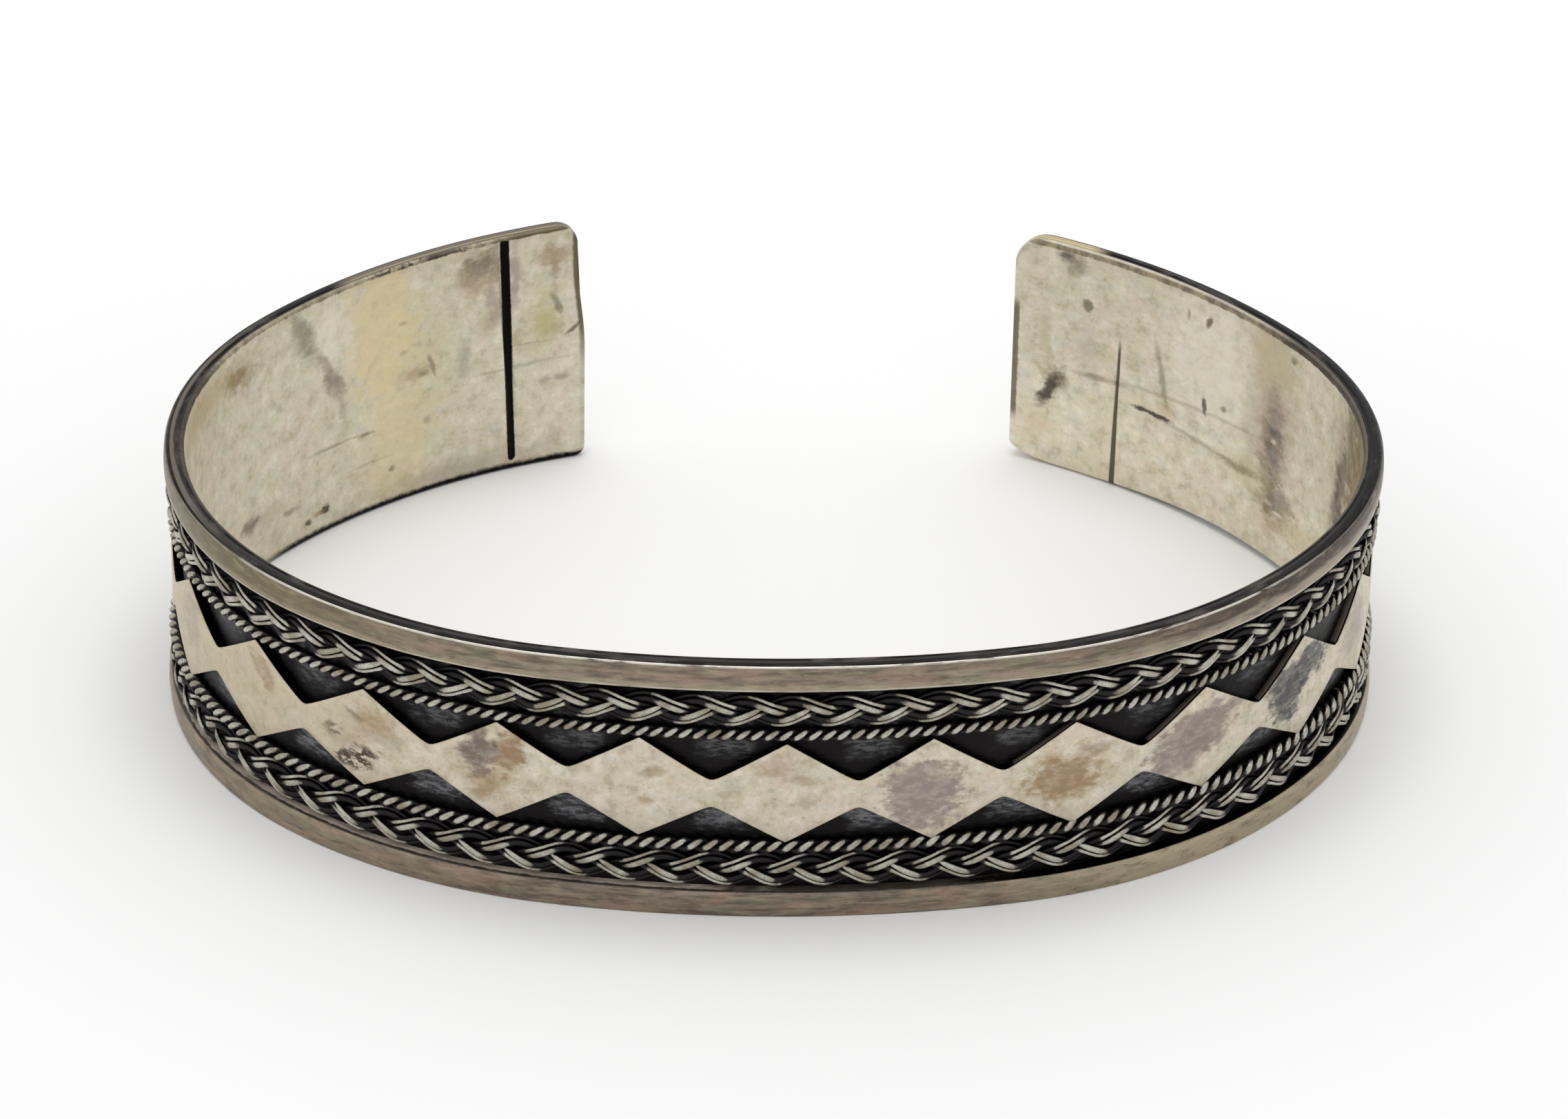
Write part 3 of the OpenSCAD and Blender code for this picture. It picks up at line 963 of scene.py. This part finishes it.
def lozenge_finish():
    coat = Finish("lozenge_silver", GREENISH_SILVER)
    along, depth, up = coat.place
    patch = coat.noise(1.3, 5, 0.68)
    fine = coat.grain((1, 1, 1.5), 4.5, 3, 0.65)
    lay_silver(coat, patch, fine)
    coat.lay(ease(along, -12, -32) * 0.5, WARM_SILVER)
    grain = coat.grain((0.7, 1, 1.4), 2.4, 4, 0.6)
    grain = ease(grain, 0.64, 0.42, 0.75, 1)
    coat.stain(coat.warped(0.45, 0.8), grain, LOZENGE_STAINS)
    speck = coat.noise(3.6, 2, 0.6)
    coat.lay(ease(speck, 0.64, 0.7) * 0.45, BROWN)
    pitted = coat.blot(coat.spot, -21.9, 6, 1.15, 0.65, 0.4, 22)
    pitted = pitted + coat.blot(coat.spot, -23.5, 7.2, 0.5, 0.35, 0.5) * 0.6
    pits = coat.grain((0.6, 1, 1.3), 2.5, 4, 0.65)
    black = ease(pits, 0.46, 0.52) * least(pitted, 1)
    coat.lay(black * 0.9, SOOT)
    # The strip's side faces are painted black as shade along its edges; on the upward-facing upper flanks
    # right of s=11 they are painted a lighter taupe as light
    side = ease(depth, LOZENGE_DEPTH + 0.045, LOZENGE_DEPTH + 0.06)
    flank = sin((along - NECKS[-1][0]) * (math.tau / LOZENGE_PITCH))
    light = ease(flank, 0, 0.15) * ease(along, 11, 12) * ease(up, 7, 8)
    light = light * ease(depth, LOZENGE_DEPTH + 0.12, LOZENGE_DEPTH + 0.16)
    coat.colour = coat.colour * LOZENGE_GAIN
    coat.lay(side, coat.mix(light * 0.8, BLACK, TAUPE))
    scratch = coat.grain((1, 1, 12), 2.2, 3, 0.7)
    normal = coat.bump(scratch * 0.5 + coat.noise(0.5) * 6 + patch * 1.5 - black * 3)
    roughness = ease(fine, 0.2, 0.8, 0.36, 0.5)
    return coat.shader(1 - light * side * 0.9, roughness, normal)


def rail_finish():
    coat = Finish("rail_silver", DARK_TAUPE)
    along, depth, up = coat.place
    upper = above(up, BAND_HEIGHT / 2)
    from_rim = upper * (BAND_HEIGHT - up) + (1 - upper) * up
    streak = coat.grain((0.25, 1, 2.6), 1.3, 5, 0.66)
    mottle = coat.grain((0.45, 1, 1.5), 1.6, 4, 0.62)
    tint = coat.grain((0.4, 1, 1.7), 0.9, 3, 0.55)
    fine = coat.grain((0.5, 1, 1.6), 4, 3, 0.6)
    coat.lay(ease(streak, 0.36, 0.62), TAUPE)
    coat.lay(ease(tint, 0.44, 0.64) * (0.65 - upper * 0.2), PINK_TAUPE)
    coat.lay(ease(tint, 0.5, 0.32) * (0.2 + upper * 0.3), GREEN_TAUPE)
    light_side = (1 - upper) * ease(along, 8, 22) * 0.6
    coat.lay(light_side, STRAW)
    left_side = (1 - upper) * ease(along, -12, -24)
    coat.lay(left_side * ease(streak, 0.6, 0.36) * 0.5, STRAW)
    coat.lay(upper * ease(along, -14, -30) * 0.8, OLIVE)
    turn = upper * ease(along, 10, 30)
    ragged_rim = from_rim + (streak - 0.5) * 0.5
    coat.lay(turn * ease(ragged_rim, 0.5, 0.9) * 0.12, EDGE)
    coat.lay(turn * ease(ragged_rim, 1, 0.6) * 0.85, SOOT)
    # Painted reflection: the lower part of the upper rail's face is lighter, as the floor seen in it
    coat.lay(ease(from_rim, 0.95, 1.25) * upper * 0.3, STRAW)
    coat.lay(ease(mottle, 0.5, 0.3) * 0.3, STRAW)
    coat.lay(ease(mottle, 0.5, 0.72) * 0.7, DARK_TAUPE)
    coat.lay(ease(fine, 0.62, 0.7) * 0.4, SOOT)
    # Painted highlight lines along the upper rail's top and foot edges, strongest at the front, broken by
    # streaks as wear
    front = ease(unsigned(along), 34, 24)
    top_highlight = ease(from_rim, 0.12, 0.06) * upper * (front * 0.7 + 0.2)
    foot_highlight = band(from_rim, UPPER_RAIL_HEIGHT - 0.13, UPPER_RAIL_HEIGHT + 0.1, 0.03) * upper * 0.5
    worn = ease(streak, 0.35, 0.5)
    coat.lay((top_highlight + foot_highlight) * worn, EDGE)
    coat.colour = coat.colour * RAIL_GAIN
    ledge = ease(depth, 0.1, 0.16)
    bare = (1 - upper) * ease(along + (mottle - 0.5) * 8, 13, 10) * 0.9
    # Left of the middle the lower ledge has a pale back strip, lightened well past its own tone as painted
    # light against the shade it gets under the braid
    pale_side = ease(along + (tint - 0.5) * 20, 0, -5)
    ragged_depth = depth + (fine - 0.5) * 0.25
    back = ease(ragged_depth, 0.28, 0.34)
    shade = coat.mix(pale_side * back, LEDGE, PALE_LEDGE)
    shade = coat.mix(ease(streak, 0.5, 0.62) * (0.7 - pale_side * 0.4), shade, SOOT)
    line = band(ragged_depth, 0.1, 0.27, 0.05) * ease(mottle, 0.62, 0.5)
    shade = coat.mix(line * 0.85, shade, SOOT)
    coat.lay(ledge, coat.mix(bare, BLACK, shade))
    scratches = coat.grain((0.5, 1, 14), 1.6, 3, 0.7)
    normal = coat.bump(scratches * 0.8 + mottle * 2 + coat.noise(0.6) * 5)
    roughness = ease(streak, 0.3, 0.8, 0.34, 0.5)
    return coat.shader(1 - ledge * bare * 0.9, roughness, normal)


def rim_finish():
    coat = Finish("rim_oxide", BLACK)
    along, depth, _ = coat.place
    streak = coat.grain((0.25, 5, 1), 1.3, 4, 0.65)
    cloud = coat.grain((0.5, 2, 1), 0.7, 3, 0.6)
    right_turn = band(along, 36, 71, 3) * 0.75
    coat.lay(ease(streak, 0.45, 0.7) * (0.8 - right_turn), SOOT)
    coat.lay(ease(cloud, 0.5, 0.7) * 0.3, VIOLET)
    ragged = depth + (streak - 0.5) * 0.3
    left_turn = band(along, -56, -34, 5) * ease(ragged, 0.62, 0.5)
    coat.lay(left_turn * 0.75, TAUPE)
    left_arm = ease(along, -63.5, -65.5)
    coat.lay(left_arm * 0.9, TAUPE)
    coat.lay(left_arm * band(depth, 0.63, 0.77, 0.03) * 0.7, STRAW)
    right_tip = ease(along, 72.6, 74.2) * ease(ragged, 0.25, 0.4)
    coat.lay(right_tip, CREAM)
    normal = coat.bump(coat.grain((0.5, 5, 5), 2, 3))
    return coat.shader(1, 0.4, normal)


def ground_finish():
    coat = Finish("ground_oxide", GROUND_BLACK)
    along, _, up = coat.place
    grain = coat.grain((0.6, 1, 1.2), 1.8, 5, 0.7)
    # Painted sheen: a lighter grey patch in each window beside the necks, below and above the strip, stands
    # in for the floor's reflection on the dark oxide
    from_neck = cos((along - NECKS[-1][0] - 0.4) * (math.tau / LOZENGE_PITCH))
    glint = coat.grain((0.45, 1, 1.6), 3, 5, 0.72)
    beside = ease(from_neck + (grain - 0.5) * 2, 0.1, 0.9)
    low = band(up + (grain - 0.5) * 1.2, 5, 6.1, 0.35)
    high = ease(up + (grain - 0.5) * 1.5, 8.6, 9.7)
    painted_sheen = beside * least(low + high * 0.55, 1) * ease(glint, 0.58, 0.4, 0.15, 0.9)
    coat.lay(painted_sheen, PAINTED_SHEEN_GREY)
    normal = coat.bump(coat.noise(5, 3, 0.7) + grain * 3)
    return coat.shader(1, ease(grain, 0.3, 0.7, 0.3, 0.45), normal)


def wire_finish():
    coat = Finish("wire_silver", WIRE_BLACK)
    shine = coat.node("ShaderNodeAttribute", {"attribute_name": "shine"}, None, "Fac")
    cloud = coat.noise(0.9, 3)
    grain = coat.noise(6, 3, 0.65)
    bare = coat.mix(ease(cloud, 0.35, 0.68), WIRE, DULL_WIRE)
    speckle = coat.noise(13, 2, 0.6)
    bare = coat.mix(ease(speckle, 0.5, 0.66) * 0.5, bare, MURK)
    # Bare metal where the wires are worn and painted as lit; elsewhere the dark tone stands for oxide in
    # the hollows and painted shade
    worn = ease(shine + (grain - 0.5) * 0.7 + (cloud - 0.5) * 0.4, 0.15, 0.85)
    coat.lay(worn, bare)
    normal = coat.bump(grain)
    roughness = ease(worn, 0, 1, 0.5, 0.32)
    return coat.shader(1, roughness, normal)


WALL_STAINS_AND_SHADOWS = (
    (BRIGHT_SILVER, 0.7, -63.4, 11.8, 1.6, 2.6, 0.6),
    (CREAM, 0.8, -67, 11.6, 2.4, 4.2, 0.25),
    (CREAM, 0.6, -68, 4.6, 2.4, 5.4, 0.6),
    (LICHEN, 0.15, -70.5, 8, 1.8, 4),
    (BROWN, 0.6, -73.7, 13, 1.5, 1.3, 0.6),
    (MURK, 0.7, -73.9, 13.4, 1.2, 0.75, 0.6),
    (VIOLET, 0.6, -74.5, 10.7, 0.45, 1.5, 0.6),
    (BROWN, 0.3, -74.1, 9.6, 0.5, 1),
    # Painted shadow beside the left scored line
    (VIOLET, 0.7, -75.8, 12.2, 0.35, 1.8, 0.6),
    (BROWN, 0.6, -78.3, 13.1, 0.75, 0.7, 0.6),
    (BROWN, 0.65, -78.3, 12.1, 0.3, 1, 0.6),
    (LICHEN, 0.6, -77.7, 8.9, 0.85, 1.2, 0.7),
    (LICHEN, 0.2, -77.8, 10.6, 0.7, 1.2),
    (OCHRE, 0.2, -77, 8.3, 1.2, 1.2),
    (SLATE, 0.35, -72.5, 7.6, 0.4, 1.1),
    (BROWN, 0.5, -69.3, 7.8, 1.1, 0.4),
    (BROWN, 0.4, -68.4, 9.3, 0.25, 0.25, 0.5),
    (BROWN, 0.4, -68.4, 11.1, 0.25, 0.2, 0.5),
    (GREEN_TAUPE, 0.75, -61, 12.7, 0.7, 1.6, 0.7, -25),
    (MURK, 0.35, -61.1, 13, 0.45, 1.2, 0.8, -25),
    (TAUPE, 0.65, -62.5, 10.6, 0.32, 1.5, 0.7, -30),
    (TAUPE, 0.8, -63.3, 9.2, 0.65, 0.85, 0.6, -25),
    (TAUPE, 0.45, -63.9, 7.4, 0.3, 1.2, 0.7, -8),
    (BROWN, 0.4, -55.7, 12.9, 1.9, 0.7, 0.8, 8),
    (DARK_OCHRE, 0.75, -54.6, 12.9, 1.4, 0.7, 0.7, 8),
    (OCHRE, 0.5, -50, 13.4, 5, 1),
    (BROWN, 0.3, -57.5, 2.9, 1.8, 0.5),
    (TAUPE, 0.4, -72, 0.9, 4.5, 0.6),
    (BRIGHT_SILVER, 0.75, 64.5, 10.5, 3.6, 4.2, 0.5),
    (DARK_OCHRE, 1, 47, 10.8, 3, 8, 0.5),
    (OLIVE, 0.85, 49.6, 12.6, 0.9, 2.4, 0.7, 6),
    (BROWN, 0.4, 51, 10, 1.5, 5, 0.7, 8),
    # Painted shadow in the next two rows: a dark band leaning down the right arm's face
    (MURK, 0.95, 51.3, 8.4, 0.85, 3.4, 0.6, 12),
    (SOOT, 0.35, 51.4, 7.8, 0.5, 2.6, 0.7, 12),
    (BROWN, 0.5, 59.5, 8.8, 1.8, 6.4),
    (WARM_SILVER, 0.7, 59.7, 12.6, 1.9, 1.8, 0.7),
    (MURK, 0.8, 59.4, 7.4, 0.9, 2.8, 0.8, 2),
    (SLATE, 0.4, 59.3, 7.8, 0.5, 2),
    (MURK, 0.75, 58.8, 3.9, 1.5, 1.1, 0.7),
    (SLATE, 0.35, 58.6, 3.9, 0.9, 0.8),
    (OCHRE, 0.35, 57, 3, 2.2, 0.9),
    (LICHEN, 0.25, 61.2, 4.6, 1.6, 0.8),
    (OCHRE, 0.4, 68.2, 6.1, 0.6, 0.75, 0.7),
    (STRAW, 0.7, 76.5, 8.1, 0.42, 2, 0.7, -4),
    (VIOLET, 0.25, 73.8, 8.2, 0.9, 1.3),
    (OCHRE, 0.25, 77, 2.2, 0.9, 1.2),
)

WALL_MARKS = (
    (OLIVE, 0.7, 75.8, 5.4, 0.6, 1.1, 0.6, 28),
    (SOOT, 0.9, 76.2, 4.75, 0.42, 1.2, 0.5, 31),
    (SOOT, 0.95, 69.1, 5.45, 1.15, 0.17, 0.4, 2),
    (OLIVE, 0.6, 62, 4.7, 1.7, 0.26, 0.8, -3),
    (OLIVE, 0.4, 65.8, 5, 2.6, 0.13, 0.8, 5),
    (OLIVE, 0.55, 68.5, 8, 0.2, 1.4, 0.8, -12),
    (OLIVE, 0.3, 68.95, 9.6, 0.15, 0.9, 0.8, -14),
    (SOOT, 0.85, 65.25, 7.4, 0.15, 0.5, 0.5, -5),
    (DARK_BROWN, 0.85, 65.2, 13, 0.2, 0.45, 0.5, 20),
    (SOOT, 0.4, 66.8, 12.9, 0.1, 0.35, 0.5),
    (OLIVE, 0.8, 73.85, 11.1, 0.32, 0.36, 0.5),
    (SOOT, 0.8, 75.3, 14, 0.45, 0.35, 0.7, -15),
    (OLIVE, 0.6, 74.6, 13.5, 0.6, 0.6),
    (SOOT, 0.6, 63.7, 7.9, 0.24, 0.16, 0.7),
    (SOOT, 0.6, 57.8, 13.6, 0.32, 0.2, 0.7, -15),
    (SOOT, 0.5, 59.4, 8.3, 0.3, 0.2),
    (BRIGHT_SILVER, 0.6, 59.3, 7.7, 0.25, 0.14, 0.5),
    (BRIGHT_SILVER, 0.6, 58.6, 3.3, 0.5, 0.12, 0.5),
    (OLIVE, 0.3, 66.5, 7, 7, 0.12, 0.9, -3.5),
    (OLIVE, 0.5, 72.8, 6.45, 1.4, 0.15, 0.8, -2),
    (SOOT, 0.95, -62.5, 1.45, 0.34, 0.3, 0.4),
    (BROWN, 0.6, -62, 1.4, 0.5, 0.18, 0.5),
    (SOOT, 0.85, -61, 1.15, 0.28, 0.22, 0.5),
    (MURK, 0.8, -55.8, 3.2, 0.85, 0.36, 0.7),
    (MURK, 0.6, -59.5, 2.5, 0.55, 0.2, 0.7),
    (MURK, 0.6, -67.5, 2.3, 0.22, 0.18, 0.6),
    (MURK, 0.4, -70, 4.6, 0.25, 0.2, 0.7),
    (SOOT, 0.6, -65.7, 5.05, 0.55, 0.11, 0.7),
    (OLIVE, 0.5, -63.2, 5.2, 2, 0.09, 0.8, 1),
    (OLIVE, 0.3, -66, 3.15, 1.2, 0.08),
    (OLIVE, 0.3, -76.5, 7.8, 1.8, 0.09, 0.8, 1),
    (OLIVE, 0.3, -76, 6.5, 2.6, 0.09, 0.8, -1),
    (MURK, 0.6, -70.4, 7.9, 0.15, 0.6, 0.6, -15),
    (MURK, 0.6, -69.8, 7.6, 0.3, 0.2, 0.7),
    (MURK, 0.5, -78.7, 5.3, 0.5, 0.2),
    (MURK, 0.4, -77.7, 5.3, 0.3, 0.2),
    (MURK, 0.65, -78.5, 9.9, 0.2, 0.65, 0.7, -20),
    (SOOT, 0.7, -79.5, 8.3, 0.6, 0.12, 0.5, -38),
)


def wall_finish():
    coat = Finish("inner_silver", GREENISH_SILVER)
    along, _, up = coat.place
    patch = coat.noise(0.9, 5, 0.68)
    fine = coat.grain((1, 1, 1.3), 3.2, 4, 0.7)
    lay_silver(coat, patch, fine)
    grain = ease(patch, 0.62, 0.38, 0.7, 1)
    coat.stain(coat.warped(0.5, 0.8), grain, WALL_STAINS_AND_SHADOWS)
    coat.stain(coat.warped(0.12, 2), 0.95, WALL_MARKS)
    low_right = ease(up, 9, 1) * ease(along, 40, 50)
    coat.colour = coat.colour * WALL_GAIN * (1 + low_right * 0.14)
    foot, lean, half_width, low, *_ = GROOVES[0]
    from_line = along - up * lean - foot
    below = most(low + half_width - up, 0)
    reach = root(from_line * from_line + below * below) + (fine - 0.5) * 0.1
    left_line = ease(reach, half_width + 0.04, half_width - 0.06)
    coat.lay(left_line, BLACK)
    foot, lean, half_width, low, high, _ = GROOVES[1]
    from_line = unsigned(along - up * lean - foot)
    narrowing = ease(up, low, high, half_width * 1.3, half_width * 0.5)
    right_line = ease(from_line - narrowing, 0.05, -0.03) * ease(up, high + 0.2, high - 1.2)
    coat.lay(right_line * 0.9, SCORE)
    # The inner bevel: straw and taupe, olive at the left tip and soot over the middle, partly its own tone
    # and partly painted shade
    top = BAND_HEIGHT - INNER_BEVEL
    right = ease(along, 0, 1)
    bevel_foot = top - right * 0.2
    bevel = ease(up + (patch - 0.5) * 0.3, bevel_foot, bevel_foot + 0.08)
    shade = coat.mix(ease(patch, 0.4, 0.6), STRAW, TAUPE)
    shade = coat.mix(ease(along, -74, -76), shade, OLIVE)
    flecked = band(along, -73.5, -66, 0.3) * ease(fine, 0.5, 0.58)
    shade = coat.mix(least(flecked + band(along, -72.2, -70.2, 0.3), 1) * 0.85, shade, SOOT)
    bevel_shade = band(along, -52, 60, 3)
    shade = coat.mix(bevel_shade * 0.85, shade, SOOT)
    coat.lay(bevel, shade)
    # Painted highlight: a thin bright line at the top of the bevel, faint over the middle
    line = ease(up, top + 0.12, top + 0.18) * (right * 0.9 + 0.1)
    coat.lay(line * (1 - bevel_shade * 0.8) * 0.6, BRIGHT_SILVER)
    # Black along the left arm's foot: painted contact shadow, partly the dark bottom edge
    foot_shadow_and_edge = ease(up + (fine - 0.5) * 0.4, 0.55, 0.25) * ease(along, -55, -60)
    coat.lay(foot_shadow_and_edge, BLACK)
    right_end = ease(along + (fine - 0.5) * 0.2, RIGHT_END - 0.45, RIGHT_END - 0.3)
    coat.lay(right_end * band(up, 2.4, 10.2, 0.5) * 0.85, OLIVE)
    slanted = along - ease(up, SLANT_FROM_Z, SLANT_TO_Z) * LEFT_TIP_SLANT + (fine - 0.5) * 0.2
    left_end = ease(slanted, LEFT_END + 0.4, LEFT_END + 0.2)
    coat.lay(left_end * ease(up, 5, 9, 0.15, 0.95), OLIVE)
    scratch = coat.grain((0.4, 1, 12), 1.2, 3, 0.7)
    height = scratch * 0.3 + patch * 1.5 + coat.noise(0.4, 3) * 6
    normal = coat.bump(height)
    roughness = ease(fine, 0.2, 0.8, 0.38, 0.52)
    return coat.shader(1, roughness, normal)


def floor_finish():
    return Finish("floor_paper", FLOOR).shader(0, 0.9)


# Pieces


def wire_inputs(material, lengths, others):
    """What a wire's tree takes: lengths in millimetres, and other numbers."""
    lengths = {"From": ORNAMENT_LEFT + END_GAP, "To": ORNAMENT_RIGHT - END_GAP, **lengths}
    found = {name: length * MM for name, length in lengths.items()}
    return {**found, **others, "Plan": PLAN_CURVE, "Material": material}


def attach(piece, slot, *nodes):
    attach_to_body(piece, "root")
    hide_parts(*nodes)


def build_band():
    materials = [wall_finish(), rim_finish(), rail_finish(), ground_finish()]
    piece = run_tree("cuff_band", bend_tree(), {"Plan": PLAN_CURVE}, band_mesh(materials))
    attach(piece, "silver", "band")


def build_lozenges():
    piece = run_tree("lozenge_strip", bend_tree(), {"Plan": PLAN_CURVE}, strip_mesh(lozenge_finish()))
    attach(piece, "silver", "band")


def build_ropes(material):
    tree = rope_tree()
    for place, height, wire, lay, bead_at, highlight_up in ROPES:
        lengths = {"Lay": lay, "Bead At": bead_at, "Wire Radius": wire, "Height": height}
        lengths["Depth"] = ROPE_FOOT - 2 * wire
        inputs = wire_inputs(material, lengths, {"Highlight Up": math.radians(highlight_up)})
        piece = run_tree(f"{place}_twisted_rope", tree, inputs)
        attach(piece, "silver_wire", f"{place}_rope")


def build_braids(material):
    tree = strand_tree()
    for place, height, half_reach, crossing, direction in BRAIDS:
        lengths = {"Height": height, "Half Reach": half_reach, "Crossing": crossing, **BRAID_LENGTHS}
        for which in range(STRANDS):
            inputs = wire_inputs(material, lengths, {"Direction": direction, "Which": float(which)})
            piece = run_tree(f"{place}_braid_wires_{which + 1}", tree, inputs)
            attach(piece, "silver_wire", f"{place}_braid_strand_{which + 1}")


# Stage


def build_floor():
    half = 1.2
    corners = [(-half, -half, 0), (half, -half, 0), (half, half, 0), (-half, half, 0)]
    mesh = bpy.data.meshes.new("floor")
    mesh.from_pydata(corners, [], [(0, 1, 2, 3)])
    mesh.materials.append(floor_finish())
    add_object("floor", mesh)


def build_lights():
    world = bpy.data.worlds.new("studio")
    world.use_nodes = True
    background = world.node_tree.nodes["Background"]
    background.inputs["Color"].default_value = (1, 1, 1, 1)
    background.inputs["Strength"].default_value = WORLD_LIGHT
    bpy.context.scene.world = world
    data = bpy.data.lights.new("top_softbox", "AREA")
    data.shape = "RECTANGLE"
    data.size, data.size_y = LAMP_SIZE
    data.energy = LAMP_POWER
    lamp = add_object("top_softbox", data)
    lamp.location = LAMP_PLACE
    lamp.rotation_mode = "QUATERNION"
    lamp.rotation_quaternion = (-Vector(LAMP_PLACE)).to_track_quat("-Z", "Y")


def build_camera():
    turn, elevation, roll = (math.radians(a) for a in (CAMERA_TURN, CAMERA_ELEVATION, CAMERA_ROLL))
    flat = math.cos(elevation)
    back = Vector((-flat * math.sin(turn), -flat * math.cos(turn), math.sin(elevation)))
    data = bpy.data.cameras.new("camera")
    data.sensor_width = SENSOR_WIDTH
    data.lens = CAMERA_LENS
    data.clip_start, data.clip_end = CAMERA_CLIP
    camera = add_object("camera", data)
    right = (-back).cross(Vector((0, 0, 1))).normalized()
    up = right.cross(-back)
    turned = Matrix((right, up, back)).transposed() @ Matrix.Rotation(-roll, 3, "Z")
    place = (Vector(CAMERA_AIM) + CAMERA_DISTANCE * back) * MM
    camera.matrix_world = Matrix.Translation(place) @ turned.to_4x4()
    bpy.context.scene.camera = camera
    bpy.context.scene.view_settings.view_transform = "Standard"


build_camera()
build_lights()
build_floor()
build_band()
build_lozenges()
wire_material = wire_finish()
build_ropes(wire_material)
build_braids(wire_material)
bpy.data.objects.remove(PLAN_CURVE)
